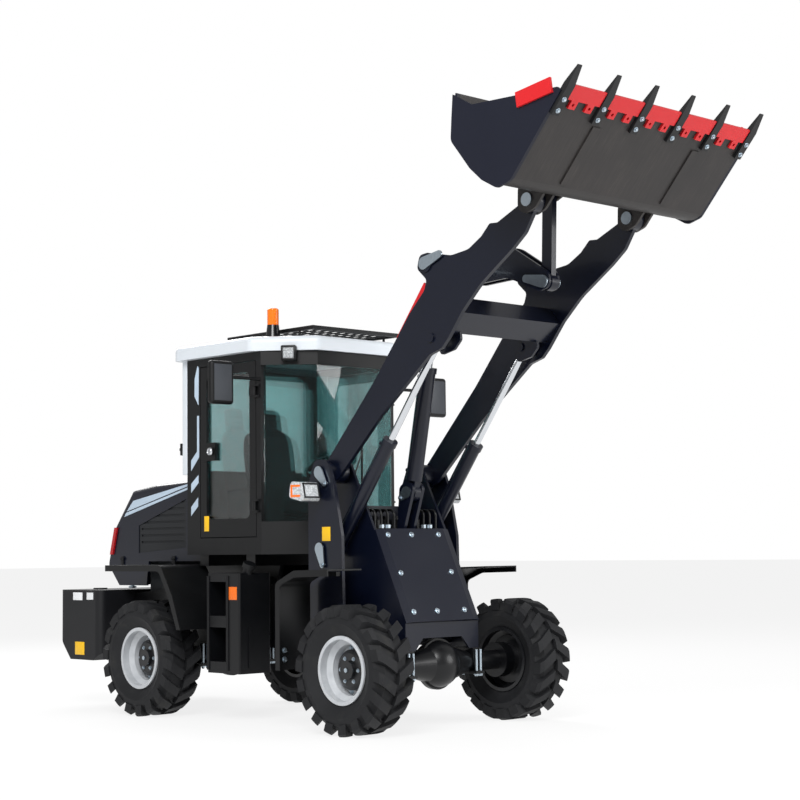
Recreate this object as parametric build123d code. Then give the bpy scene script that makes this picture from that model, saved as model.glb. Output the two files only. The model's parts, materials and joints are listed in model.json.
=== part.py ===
# Compact articulated wheel loader, boom raised and bucket rolled back.
# Millimetres. +X is forward, +Y is the machine's left, +Z is up, and the ground is Z = 0.
# Places are given from the articulation pin, at X = 0. The finished part is then moved along X,
# so that the origin lies under the middle of its outer box.
from build123d import *
from math import atan2, cos, degrees, hypot, radians, sin
import os

# Running gear
wheel_base = 2230.0
track = 1500.0
tyre_diameter = 842.0
tyre_width = 305.0
lug_count = 18
lug_height = 30.0
lug_width = 62.0
lug_slant_angle = 32.0
rim_seat_diameter = 419.0
rim_flange_diameter = 446.0
rim_width = 230.0
rim_lip = 12.0
hub_diameter = 262.0
spindle_diameter = 90.0
axle_tube_diameter = 132.0
axle_ball_diameter = 320.0
axle_flange_diameter = 344.0
axle_strap_diameter = 18.0
brake_drum_diameter = 240.0

# Clearances
pin_gap = 0.3
moving_gap = 8.0

# Loading linkage. The boom has a frame of its own: u runs from its foot pin to the bucket pin,
# and v stands square to that, upwards.
boom_foot_x = 577.0
boom_foot_z = 1724.0
boom_length = 2500.0
boom_angle = 39.7
boom_plate = 30.0
boom_plane = 480.0
lift_pin_u = 1322.0
lift_pin_v = -18.0
crank_pin_u = 1602.0
crank_pin_v = 388.0
link_pin_u = 1990.0
link_pin_v = -127.0
tilt_pin_u = 1341.0
tilt_pin_v = 640.0
bucket_link_u = 2385.0
bucket_link_v = 315.0
lift_foot_x = 580.0
lift_foot_z = 1204.0
lift_plane = 410.0
tilt_foot_x = 900.0
tilt_foot_z = 1584.0
pin_diameter = 60.0
pin_head = 12.0
pin_head_diameter = pin_diameter + 24
keeper_length = 150.0
keeper_point = 50.0
eye_width = 56.0
fork_plate = 20.0
fork_gap = 4.0

# Bucket, in a frame of its own: along the floor from the bucket pin, and above the underside
bucket_width = 1850.0
bucket_wall = 16.0
floor_angle = 48.6
floor_drop = 146.0
floor_front = 785.0
floor_rear = 190.0
tooth_count = 6
tooth_pitch = 354.4
tooth_width = 60.0
tooth_tip = 960.0
tooth_root = 150.0
tooth_depth = 24.0
strap_width = 70.0
strap_plate = 10.0
edge_thickness = 16.0

# Cylinders
lift_barrel_diameter = 92.0
lift_rod_diameter = 46.0
lift_barrel_length = 900.0
lift_rod_length = 960.0
tilt_barrel_diameter = 112.0
tilt_rod_diameter = 56.0
tilt_barrel_length = 870.0
tilt_rod_length = 900.0
steer_barrel_diameter = 62.0
steer_rod_diameter = 32.0
steer_barrel_length = 420.0
steer_rod_length = 400.0
steer_foot_x = -550.0
steer_foot_y = 200.0
steer_head_x = 130.0
steer_head_y = 170.0
steer_z = 700.0
cylinder_wall = 9.0
pipe_diameter = 18.0
port_height = 26.0

# Frames
frame_half_width = 330.0
frame_plate = 30.0
frame_top_z = 1090.0
axle_seat_z = 518.0
pivot_pin_diameter = 70.0
lower_lug_z = 500.0
upper_lug_z = 880.0
lug_plate = 40.0
tower_inner_y = 345.0
tower_outer_y = 535.0
tower_plate = 25.0
tower_rear_x = 450.0
tower_base_z = 640.0
cover_top_setback = 16.0
cover_top_z = 1326.0
cover_foot_lead = 63.0
cover_foot_z = 703.0
cover_plate = 10.0
cover_fold_width = 60.0
cover_fold_depth = 14.0
lip_plate = 14.0

# Cab
cab_half_width = 640.0
cab_rear_x = -820.0
cab_shoulder_x = 40.0
cab_nose_x = 330.0
cab_nose_half_width = 360.0
cab_floor_z = 1170.0
cab_floor_plate = 45.0
cab_top_z = 2600.0
cab_wall = 45.0
door_rear_x = -664.0
door_front_x = -14.0
door_sill_z = 1290.0
door_head_z = 2540.0
door_gap = 6.0
door_lock_width = 175.0
door_lock_z = 1915.0
window_sill_z = 1400.0
window_head_z = 2500.0
rear_window_sill_z = 1790.0
rear_window_inset = 130.0
hinge_pin_diameter = 12.0
hinge_knuckle_diameter = 28.0
hinge_knuckle_length = 60.0
hinge_offset = 16.0
door_hinge_inset = 220.0
hood_hinge_y = 300.0
hood_hinge_drop = 13.0
hood_hinge_setback = 16.0
window_corner = 45.0
glass_thickness = 8.0
glass_gap = 0.3
roof_thickness = 105.0
roof_overhang = 60.0
roof_rear_x = -930.0
roof_post_z = 1760.0
rack_rear_x = -620.0
rack_front_x = 350.0
rack_half_width = 420.0
rack_rise = 40.0
seat_x = -460.0
beacon_x = -16.0
beacon_y = -480.0
mirror_x = 90.0
mirror_y = 1035.0
mirror_z = 2350.0
mirror_arm_z = 2400.0

# Body
hood_half_width = 480.0
hood_front_x = -850.0
hood_rear_x = -2060.0
hood_edge_z = 1125.0
hood_tail_z = 940.0
hood_top_z = 1735.0
hood_wall = 20.0
hood_knee_x = -1450.0
hood_brow_x = -1760.0
hood_brow_z = 1675.0
hood_grille_top_x = -1970.0
hood_grille_top_z = 1430.0
hood_grille_base_z = 1120.0
hood_grille_half_width = 330.0
hood_tail_cut = 140.0
hood_step_x = -1530.0
grille_slot_count = 7
vent_rear_x = -1660.0
vent_front_x = -1050.0
vent_base_z = 1190.0
vent_rear_top_z = 1400.0
vent_front_top_z = 1590.0
louvre_count = 7
louvre_gap = 16.0
louvre_depth = 8.0
weight_half_width = 660.0
weight_rear_x = -2490.0
weight_front_x = -1930.0
weight_base_z = 362.0
weight_top_z = 905.0
hitch_setback = 60.0
hitch_pin_diameter = 40.0
fender_outer_y = 900.0
fender_plate = 10.0
fender_lip = 45.0
fender_foot_z = 640.0
front_fender_top_z = 1070.0
front_fender_foot_z = 400.0
headlight_x = 545.0
headlight_z = 1595.0
hydraulic_deck_z = 1300.0
ladder_rail = 26.0
filler_height = 60.0
tank_rear_x = -440.0
tank_front_x = -70.0
tank_inner_y = 470.0
tank_outer_y = 750.0
tank_base_z = 340.0
tank_top_z = 1040.0

axle_front_x = wheel_base / 2
axle_rear_x = -wheel_base / 2
wheel_z = tyre_diameter / 2
cover_top_x = tilt_foot_x - cover_top_setback
cover_foot_x = axle_front_x + cover_foot_lead
roof_half_width = cab_half_width + roof_overhang
boom_inner_y = boom_plane - boom_plate / 2
boom_outer_y = boom_plane + boom_plate / 2
pin_bore = pin_diameter + 2 * pin_gap
door_hinge_x = door_front_x - door_gap / 2
door_hinge_y = cab_half_width + hinge_offset
door_hinge_heights = (door_sill_z + door_hinge_inset, door_head_z - door_hinge_inset)
hood_hinge_x = cab_rear_x - hood_hinge_setback
hood_hinge_z = hood_top_z - hood_hinge_drop


def turned(x, z, angle):
    """A point turned about the origin of the XZ plane, counter-clockwise seen from the right side."""
    c = cos(radians(angle))
    s = sin(radians(angle))
    return (x * c - z * s, x * s + z * c)


def boom_place(u, v):
    """The (x, z) place of a point of the boom's frame."""
    x, z = turned(u, v, boom_angle)
    return (boom_foot_x + x, boom_foot_z + z)


def bucket_place(along, above):
    """The (x, z) place of a point of the bucket's frame."""
    pin_x, pin_z = boom_place(boom_length, 0)
    x, z = turned(along, above - floor_drop, floor_angle)
    return (pin_x + x, pin_z + z)


lift_pin = boom_place(lift_pin_u, lift_pin_v)
crank_pin = boom_place(crank_pin_u, crank_pin_v)
link_pin = boom_place(link_pin_u, link_pin_v)
tilt_pin = boom_place(tilt_pin_u, tilt_pin_v)
bucket_pin = boom_place(boom_length, 0)
bucket_link_pin = boom_place(bucket_link_u, bucket_link_v)


def stand(sketch, y_low, y_high):
    """A face drawn in (x, z), made into a plate between two Y planes."""
    return extrude(Plane.XZ.offset(-y_high) * sketch, y_high - y_low)


def flat(points, y_low, y_high):
    """A plate with straight edges between two Y planes."""
    return stand(make_face(Polyline(*points, close=True)), y_low, y_high)


def rounded(points, radii, y_low, y_high):
    """A plate with rounded corners between two Y planes."""
    return stand(make_face(FilletPolyline(*points, radius=radii, close=True)), y_low, y_high)


def block(x, y, z):
    """A block between three (low, high) pairs."""
    centre = Pos((x[0] + x[1]) / 2, (y[0] + y[1]) / 2, (z[0] + z[1]) / 2)
    return centre * Box(x[1] - x[0], y[1] - y[0], z[1] - z[0])


def slab(points, z_low, z_high):
    """A plate drawn in (x, y) between two heights."""
    return extrude(Pos(0, 0, z_low) * make_face(Polyline(*points, close=True)), z_high - z_low)


def bar_y(place, diameter, y_low, y_high):
    """A round bar along Y at an (x, z) place."""
    x, z = place
    return Pos(x, (y_low + y_high) / 2, z) * Rot(90, 0, 0) * Cylinder(diameter / 2, y_high - y_low)


def bar_z(place, diameter, z_low, z_high):
    """A round bar along Z at an (x, y) place."""
    x, y = place
    return Pos(x, y, (z_low + z_high) / 2) * Cylinder(diameter / 2, z_high - z_low)


def softened(shape, radius, axis=None):
    """A block with its edges rounded, or only those along one axis."""
    edges = shape.edges()
    if axis is not None:
        edges = edges.filter_by(axis)
    return fillet(edges, radius)


def flip(shape):
    """The mirror image on the other side of the machine."""
    return mirror(shape, about=Plane.XZ)


def joined(*shapes):
    """Solids fused into one."""
    result = shapes[0]
    for shape in shapes[1:]:
        result = result + shape
    return result


def twins(shape):
    """A piece and its mirror image, as one node of two solids."""
    return Compound(children=[shape, flip(shape)])


def spun(points):
    """A (radius, y) outline spun about the Y axis."""
    return revolve(make_face(Polyline(*[(r, y, 0) for r, y in points], close=True)), Axis.Y, 360)


def wheel_rim():
    """Deep-dish steel rim and its hub about the wheel's middle, with the outer side towards -Y."""
    seat = rim_seat_diameter / 2
    flange = rim_flange_diameter / 2
    half = rim_width / 2
    lip = rim_lip
    skin = 10.0
    well = seat - 34
    well_low = half - 85
    well_high = half - 55
    hub = hub_diameter / 2
    hub_neck = hub - 30
    bore = spindle_diameter / 2 + pin_gap
    disc = 22.0
    boss = disc + 18
    cap = 60.0
    cap_end = disc + 44
    return spun([
        (bore, half - 20), (hub_neck, half - 20), (hub_neck, boss), (well - skin, boss),
        (well - skin, well_low + 5), (seat - skin, well_high), (seat - skin, half), (flange, half),
        (flange, half - lip), (seat, half - lip), (seat, well_high - 5), (well, well_low),
        (well, -well_low), (seat, 5 - well_high), (seat, lip - half), (flange, lip - half), (flange, -half),
        (seat - skin, -half), (seat - skin, -well_high), (well - skin, -well_low - 5), (well - skin, disc),
        (hub, disc), (hub, -disc), (hub - 26, -boss), (cap, -boss), (cap, -cap_end),
        (0, -cap_end), (0, 0), (bore, 0)])


def wheel_tyre():
    """Loader tyre: a spun carcass, and two staggered rows of slanting lugs fused to it."""
    seat = rim_seat_diameter / 2 + pin_gap
    flange = rim_flange_diameter / 2 + pin_gap
    bead = rim_width / 2 - rim_lip - 1
    half = tyre_width / 2
    tip = tyre_diameter / 2
    tread = tip - lug_height
    lining = tread - 34
    shoulder = tip - 75
    wall = [(seat, -bead), (flange, -bead), (seat + 40, -bead - 14), (seat + 95, 3 - half),
            (shoulder, 8 - half), (tread, 62 - half)]
    other = [(r, -y) for r, y in reversed(wall)]
    inside = [(seat, bead - 30), (seat + 60, half - 50), (lining, half - 60),
              (lining, 60 - half), (seat + 60, 50 - half), (seat, 30 - bead)]
    carcass = spun(wall + other + inside)
    ring = spun([(tread - 14, 10), (tip, 10), (tip, half - 26), (tip - 16, half), (shoulder - 3, half),
                 (shoulder - 3, half - 14), (tread - 14, half - 62)])
    lug = ring & (Pos(tread, half / 2, 0) * Rot(lug_slant_angle, 0, 0) * Box(tread / 2, tyre_width, lug_width))
    pitch = 360 / lug_count
    lugs = [Rot(0, i * pitch, 0) * lug for i in range(lug_count)]
    lugs += [Rot(0, (i + 0.5) * pitch, 0) * flip(lug) for i in range(lug_count)]
    return carcass + lugs


def axle(x):
    """Drive axle: flanged ball housing, tapered tubes, strapped pads, brake drums and wheel spindles."""
    drum_face = track / 2 - rim_width / 2 + 20 - moving_gap
    drum_width = 80.0
    spindle_end = track / 2 - 10
    cone_length = 200.0
    tube = axle_tube_diameter / 2
    pad_half = 75.0
    pad_y = (tower_inner_y - 65, tower_inner_y + 15)
    strap_x = pad_half + axle_strap_diameter / 2 + 1
    strap_low = wheel_z - tube - 14
    place = (x, wheel_z)
    half = joined(
        bar_y(place, axle_tube_diameter, 0, drum_face),
        Pos(x, axle_ball_diameter / 2 + 40, wheel_z) * Rot(-90, 0, 0)
        * Cone(axle_ball_diameter * 0.375, tube, cone_length),
        bar_y(place, brake_drum_diameter, drum_face - drum_width, drum_face),
        bar_y(place, spindle_diameter, drum_face - 1, spindle_end),
        block((x - pad_half, x + pad_half), pad_y, (wheel_z, axle_seat_z)),
        block((x - strap_x - 20, x + strap_x + 20), pad_y, (strap_low, strap_low + 20)))
    for strap in (x - strap_x, x + strap_x):
        for y in (pad_y[0] + 20, pad_y[1] - 20):
            half += bar_z((strap, y), axle_strap_diameter, strap_low - 20, axle_seat_z - 10)
    ball = Pos(x, 0, wheel_z) * Sphere(axle_ball_diameter / 2)
    flange = Pos(x, 0, wheel_z) * Rot(0, 90, 0) * Cylinder(axle_flange_diameter / 2, 36)
    return joined(ball, half, flip(half), flange)


def pivot_lug(x_far, z_low):
    """Horizontal pivot plate that narrows to the articulation pin; x_far is where it is welded."""
    reach = pivot_pin_diameter * 0.85
    side = 1 if x_far > 0 else -1
    points = [(x_far, -250), (x_far, 250), (side * 100, 130), (-side * reach, reach),
              (-side * reach, -reach), (side * 100, -130)]
    return slab(points, z_low, z_low + lug_plate)


def rear_frame():
    """Long side plates, cross members, pivot lugs with their pins, and the cab's carrying beams."""
    inner = frame_half_width - frame_plate
    end = weight_front_x
    side = flat(
        [(end, 560), (end, 880), (-1560, 900), (-1500, frame_top_z), (-130, frame_top_z),
         (-200, 900), (-200, lower_lug_z), (-700, lower_lug_z), (-900, axle_seat_z),
         (-1320, axle_seat_z), (-1500, 560)], inner, frame_half_width)
    shape = joined(side, flip(side))
    shape += block((end, end + 30), (-inner, inner), (560, 880))
    for x in (-1700, -860):
        shape += block((x - 30, x + 30), (-inner, inner), (590, 640))
    shape += block((-760, -720), (-inner, inner), (590, 900))
    for z in (lower_lug_z, upper_lug_z):
        shape += pivot_lug(-400, z)
        shape += block((-400, -200), (-inner, inner), (z, z + lug_plate))
    shape += bar_z((0, 0), pivot_pin_diameter, lower_lug_z - 30, 640)
    shape += bar_z((0, 0), pivot_pin_diameter, 760, upper_lug_z + lug_plate + 30)
    for x in (-720, -180):
        shape += block((x - 50, x + 50), (-560, 560), (frame_top_z, cab_floor_z))
    for side in (1, -1):
        y = side * steer_foot_y
        for z in (steer_z - 58, steer_z + 38):
            shape += block((-722, steer_foot_x + 45), (y - 45, y + 45), (z, z + 20))
        shape += bar_z((steer_foot_x, y), 40, steer_z - 70, steer_z + 70)
    return shape


def front_frame():
    """Welded front half: floor box, pivot lugs, tower plates with the foot pins, and brackets."""
    inner = tower_inner_y - 20
    rear = 230.0
    lug_low = lower_lug_z + lug_plate + 5
    lug_high = upper_lug_z - lug_plate - 5
    inner_plate = rounded(
        [(rear, axle_seat_z), (rear, 1040), (tower_rear_x, 1080), (tower_rear_x, 1640),
         (520, 1800), (640, 1800), (720, 1640), (cover_top_x, cover_top_z),
         (cover_foot_x, cover_foot_z), (cover_foot_x, axle_seat_z)],
        [0, 0, 60, 60, 60, 60, 0, 0, 0, 0], inner, tower_inner_y)
    outer_plate = rounded(
        [(tower_rear_x, 700), (tower_rear_x, 1640), (515, 1810), (645, 1810), (715, 1640), (790, 1290),
         (800, 700)],
        [0, 60, 60, 60, 60, 0, 0], tower_outer_y, tower_outer_y + tower_plate)
    half = joined(
        inner_plate, outer_plate,
        block((tower_rear_x, 800), (inner, tower_outer_y + 1), (700, 725)),
        block((tower_rear_x, tower_rear_x + 20), (inner, tower_outer_y + 1), (700, 1060)),
        bar_y((boom_foot_x, boom_foot_z), pin_diameter, inner, tower_outer_y + tower_plate + pin_head),
        bar_y((lift_foot_x, lift_foot_z), pin_diameter, inner, tower_outer_y + tower_plate + pin_head),
        rounded([(800, 1300), (830, 1620), (870, 1650), (930, 1650), (970, 1620),
                 (cover_top_x - 25, 1300)], [0, 40, 30, 30, 40, 0], eye_width / 2 + fork_gap, eye_width / 2 + fork_gap + 25))
    shape = joined(half, flip(half))
    ball_rear_x = axle_front_x - axle_ball_diameter / 2 - 25
    ball_top_z = wheel_z + axle_flange_diameter / 2 + moving_gap
    shape += block((rear, ball_rear_x), (-inner, inner), (lug_low, tower_base_z))
    shape += block((ball_rear_x, cover_foot_x), (-inner, inner), (ball_top_z, tower_base_z))
    shape += block((rear, rear + 30), (-inner, inner), (lug_low, 1040))
    shape += block((540, 560), (-inner, inner), (tower_base_z, 1500))
    shape += block((540, cover_top_x), (-inner, inner), (1280, 1300))
    shape += bar_y((tilt_foot_x, tilt_foot_z), pin_diameter, -eye_width, eye_width)
    shape += front_lip(inner)
    bore = bar_z((0, 0), pivot_pin_diameter + 2 * pin_gap, 0, 1200)
    for z in (lug_low, lug_high):
        shape += pivot_lug(rear + 5, z) - bore
    for side in (1, -1):
        y = side * steer_head_y
        for z in (steer_z - 44, steer_z + 24):
            shape += block((steer_head_x - 40, rear + 5), (y - 40, y + 40), (z, z + 20))
        shape += bar_z((steer_head_x, y), 40, steer_z - 56, steer_z - 24)
        shape += bar_z((steer_head_x, y), 40, steer_z + 24, steer_z + 56)
    return shape


def front_lip(half_width):
    """Cross plate below the tower's cover, arched over the axle's ball."""
    arch_foot = axle_ball_diameter * 0.8
    arch_top = axle_ball_diameter * 0.55
    arch_z = tower_base_z - 30
    plate = block((cover_foot_x - lip_plate, cover_foot_x), (-half_width, half_width), (axle_seat_z, cover_foot_z))
    arch = make_face(Polyline((-arch_foot, axle_seat_z - 1), (arch_foot, axle_seat_z - 1), (arch_top, arch_z),
                              (-arch_top, arch_z), close=True))
    return plate - extrude(Plane.YZ.offset(cover_foot_x - 2 * lip_plate) * arch, 3 * lip_plate)


def tower_cover():
    """Sloping front cover of the tower: a flat panel with its two edges folded back."""
    run = hypot(cover_foot_x - cover_top_x, cover_foot_z - cover_top_z)
    down = ((cover_foot_x - cover_top_x) / run, 0, (cover_foot_z - cover_top_z) / run)
    fold = tower_inner_y - cover_fold_width
    section = Polyline(
        (-tower_inner_y, 0), (tower_inner_y, 0), (tower_inner_y, cover_plate), (fold, cover_plate + cover_fold_depth),
        (-fold, cover_plate + cover_fold_depth), (-tower_inner_y, cover_plate), close=True)
    across = Plane(origin=(cover_top_x, 0, cover_top_z), x_dir=(0, 1, 0), z_dir=down)
    return extrude(across * make_face(section), run)


def boom():
    """Two profiled plates with ears, a box crossbeam, foot hubs and the lift cylinders' brackets."""
    points = [
        (-95, -60), (40, -105), (640, -72), (1240, -90), (1345, -135), (1430, -128), (1640, -85),
        (1860, -72), (2190, -105), (2330, -108), (2460, -68), (2572, -55), (2572, 55), (2400, 60),
        (2215, 112), (2165, 158), (2060, 150), (1930, 172), (1800, 255), (1660, 430), (1600, 470),
        (1525, 420), (1540, 300), (1480, 262), (1280, 246), (770, 150), (60, 62), (-90, 60)]
    radii = [55, 70, 400, 60, 30, 30, 200, 500, 300, 90, 60, 50, 50, 60, 30, 20, 40, 120, 120, 50, 40, 40,
             30, 60, 500, 900, 200, 50]
    plate = make_face(FilletPolyline(*[turned(u, v, boom_angle) for u, v in points], radius=radii,
                                     close=True))
    side = stand(Pos(boom_foot_x, boom_foot_z) * plate, boom_inner_y, boom_outer_y)
    bracket = rounded([boom_place(u, v) for u, v in (
        (1240, -80), (1345, -135), (1430, -128), (1470, -60), (1440, 60), (1250, 60))],
        [20, 30, 30, 20, 20, 20], lift_plane - eye_width / 2 - fork_gap - fork_plate,
        lift_plane - eye_width / 2 - fork_gap)
    foot = (boom_foot_x, boom_foot_z)
    half = joined(
        side, bracket,
        bar_y(foot, 150, tower_inner_y + moving_gap, tower_outer_y - moving_gap),
        bar_y(bucket_pin, 150, boom_inner_y - 15, boom_outer_y + 15),
        bar_y(crank_pin, 120, boom_inner_y - 15, boom_outer_y + 10))
    for place in (foot, bucket_pin, crank_pin):
        half -= bar_y(place, pin_bore, 0, tower_outer_y)
    for low, high in ((lift_plane - eye_width / 2 - fork_gap - fork_plate - pin_head,
                       lift_plane - eye_width / 2 - fork_gap),
                      (boom_inner_y, boom_outer_y + pin_head)):
        half += bar_y(lift_pin, pin_diameter, low, high)
    beam = [boom_place(u, v) for u, v in ((1440, -85), (1615, -78), (1615, 70), (1440, 70))]
    return joined(half, flip(half), flat(beam, -boom_inner_y - 1, boom_inner_y + 1))


def safety_strut():
    """Red lock bar that is stowed along the right boom plate."""
    length = 420.0
    width = 44.0
    start_u = crank_pin_u - 110
    start_v = crank_pin_v - 60
    points = [(start_u, start_v), (start_u - length, start_v - 90), (start_u - length, start_v - 90 - width),
              (start_u, start_v - width)]
    y = -boom_inner_y
    return flat([boom_place(u, v) for u, v in points], y, y + 14)


def bellcrank():
    """Curved two-plate lever of the bucket linkage, with its hub and the tilt cylinder's pin ends."""
    low = eye_width / 2 + fork_gap
    high = low + fork_plate
    rise = 110.0
    half_width = 75.0
    mid_u = (crank_pin_u + link_pin_u) / 2 + rise * 0.6
    mid_v = (crank_pin_v + link_pin_v) / 2 + rise * 0.6
    points = [
        (tilt_pin_u - 55, tilt_pin_v - 40), (tilt_pin_u - 20, tilt_pin_v + 60), (crank_pin_u, crank_pin_v + 120),
        (mid_u + half_width, mid_v + half_width), (link_pin_u + 70, link_pin_v + 20),
        (link_pin_u + 20, link_pin_v - 70), (link_pin_u - 65, link_pin_v - 20),
        (mid_u - half_width, mid_v - half_width), (crank_pin_u - 40, crank_pin_v - 95)]
    plate = rounded([boom_place(u, v) for u, v in points], [50, 50, 150, 200, 50, 50, 50, 150, 90], low, high)
    half = joined(plate, bar_y(tilt_pin, pin_diameter, low, high + pin_head))
    web = [(mid_u - 60, mid_v + 40), (mid_u + 40, mid_v - 60), (mid_u + 15, mid_v - 85), (mid_u - 85, mid_v + 15)]
    shape = joined(half, flip(half), bar_y(crank_pin, 140, -high, high),
                   flat([boom_place(u, v) for u, v in web], -high, high))
    shape -= bar_y(crank_pin, pin_bore, -200, 200)
    shape -= bar_y(link_pin, pin_bore, -200, 200)
    return shape


def tilt_link():
    """Straight link from the bellcrank to the bucket; its upper eye carries the middle of its pin."""
    half_eye = eye_width / 2
    length = hypot(bucket_link_u - link_pin_u, bucket_link_v - link_pin_v)
    angle = degrees(atan2(bucket_link_v - link_pin_v, bucket_link_u - link_pin_u)) + boom_angle
    bar = Pos(link_pin[0], 0, link_pin[1]) * Rot(0, -angle, 0) * Pos(length / 2, 0, 0) * Box(length, 44, 84)
    shape = joined(bar, bar_y(link_pin, 116, -half_eye, half_eye), bar_y(bucket_link_pin, 108, -half_eye, half_eye))
    return shape - bar_y(link_pin, pin_bore, -200, 200)


def headed_pin(place, y_low, y_high):
    """A pin with a flat head at each end."""
    return joined(
        bar_y(place, pin_diameter, y_low, y_high),
        bar_y(place, pin_head_diameter, y_low - pin_head, y_low),
        bar_y(place, pin_head_diameter, y_high, y_high + pin_head))


def keeper(place, toward, length, y_low, y_high):
    """Teardrop plate on a pin's end, with its point toward another place."""
    angle = degrees(atan2(toward[1] - place[1], toward[0] - place[0]))
    corners = [(0, pin_head_diameter / 2), (length, keeper_point / 2),
               (length, -keeper_point / 2), (0, -pin_head_diameter / 2)]
    points = [(place[0] + x, place[1] + z) for x, z in (turned(x, z, angle) for x, z in corners)]
    along_x, along_z = turned(length, 0, angle)
    tip = (place[0] + along_x, place[1] + along_z)
    return joined(flat(points, y_low, y_high), bar_y(tip, keeper_point, y_low, y_high))


def bucket_pins():
    """The two pins that carry the bucket on the boom's tips."""
    low = boom_inner_y - 15 - fork_gap - fork_plate - 1
    high = boom_outer_y + 15 + fork_gap + fork_plate + 1
    return twins(headed_pin(bucket_pin, low, high))


def bellcrank_pin():
    """Cross shaft through both boom ears that carries the bellcrank."""
    end = boom_outer_y + 11
    plate = keeper(crank_pin, bucket_pin, keeper_length, end, end + pin_head)
    return joined(headed_pin(crank_pin, -end, end), plate, flip(plate))


def bellcrank_link_pin():
    """Pin between the bellcrank's fork and the link."""
    end = eye_width / 2 + fork_gap + fork_plate + 1
    plate = keeper(link_pin, crank_pin, keeper_length, end, end + pin_head)
    return joined(headed_pin(link_pin, -end, end), plate, flip(plate))


def bucket_floor():
    """Plane of the bucket's underside: x runs along the floor, y across, z into the bucket."""
    x, z = bucket_place(0, 0)
    along_x, along_z = turned(1, 0, floor_angle)
    above_x, above_z = turned(0, 1, floor_angle)
    return Plane(origin=(x, 0, z), x_dir=(along_x, 0, along_z), z_dir=(above_x, 0, above_z))


def bucket_profile(offset):
    """Floor and curved back of the bucket as a line, moved inwards by an offset."""
    skew = offset * 0.7
    floor = Line((floor_front, offset), (floor_rear, offset))
    heel = ThreePointArc((floor_rear, offset), (112 + skew, 48 + skew), (84 + offset, 180))
    back = ThreePointArc((84 + offset, 180), (88 + offset, 400), (160 + skew, 610 - skew))
    top = Line((160 + skew, 610 - skew), (335 + offset / 2, 735 - offset))
    return [floor, heel, back, top]


def bucket():
    """Bucket weldment: floor and back skin, side plates, hanger ears and the link's bracket."""
    half_width = bucket_width / 2
    outer = bucket_profile(0)
    inner = bucket_profile(bucket_wall)
    closing = [Line(outer[0] @ 0, inner[0] @ 0), Line(outer[3] @ 1, inner[3] @ 1)]
    pin_x, pin_z = bucket_pin
    place = Pos(pin_x, pin_z) * Rot(0, 0, floor_angle) * Pos(0, -floor_drop)
    skin = stand(place * make_face(Wire(outer + inner + closing)), -half_width, half_width)
    side = [(floor_front, 0), (floor_rear - 20, 0), (75, 62), (45, 200), (45, 330), (88, 580),
            (194, 661), (315, 750), (352, 569), (floor_front, 36)]
    side_face = make_face(FilletPolyline(*side, radius=[0, 60, 60, 60, 120, 60, 60, 0, 40, 0], close=True))
    shape = joined(skin, *[stand(place * side_face, low, low + bucket_wall)
                           for low in (-half_width, half_width - bucket_wall)])
    ear = make_face(FilletPolyline(
        (100, 60), (0, 60), (-85, 110), (-85, 180), (0, 250), (100, 300), radius=[0, 60, 60, 60, 60, 0],
        close=True))
    low = boom_inner_y - 15 - fork_gap - fork_plate
    high = boom_outer_y + 15 + fork_gap
    for y in (low, high, -low - fork_plate, -high - fork_plate):
        shape += stand(place * ear, y, y + fork_plate)
    link_x, link_z = turned(bucket_link_u - boom_length, bucket_link_v, boom_angle - floor_angle)
    link_z += floor_drop
    bracket = make_face(FilletPolyline(
        (110, link_z - 150), (link_x - 55, link_z - 50), (link_x - 55, link_z + 50), (120, link_z + 120),
        radius=[0, 50, 50, 0], close=True))
    gap = eye_width / 2 + fork_gap
    for y in (gap, -gap - fork_plate):
        shape += stand(place * bracket, y, y + fork_plate)
    for side_sign in (1, -1):
        ends = sorted((side_sign * gap, side_sign * (gap + fork_plate + pin_head)))
        shape += bar_y(bucket_link_pin, pin_diameter, *ends)
    strap_x = (floor_rear + 20, floor_front - tooth_root - 20)
    for y in (-boom_plane, boom_plane):
        shape -= bar_y(bucket_pin, pin_bore, y - 120, y + 120)
        shape += bucket_floor() * block(strap_x, (y - strap_width / 2, y + strap_width / 2), (-strap_plate, 1))
    return shape


def bucket_teeth():
    """Six bolt-on teeth along the floor's front edge, narrowing to their tips."""
    root = floor_front - tooth_root
    back = floor_front + 45
    points = [(root, -tooth_depth), (root, 0), (floor_front, 0), (floor_front, bucket_wall),
              (back, bucket_wall), (tooth_tip, 2), (tooth_tip, -4), (back, -tooth_depth)]
    half = tooth_width / 2
    tip_half = tooth_width * 0.3
    plan = make_face(Polyline((root, -half), (back, -half), (tooth_tip, -tip_half), (tooth_tip, tip_half),
                              (back, half), (root, half), close=True))
    wedge = bucket_floor() * extrude(Pos(0, 0, -2 * tooth_depth) * plan, 4 * tooth_depth)
    tooth = flat([bucket_place(a, b) for a, b in points], -half, half) & wedge
    first = -tooth_pitch * (tooth_count - 1) / 2
    return Compound(children=[Pos(0, first + i * tooth_pitch, 0) * tooth for i in range(tooth_count)])


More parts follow.
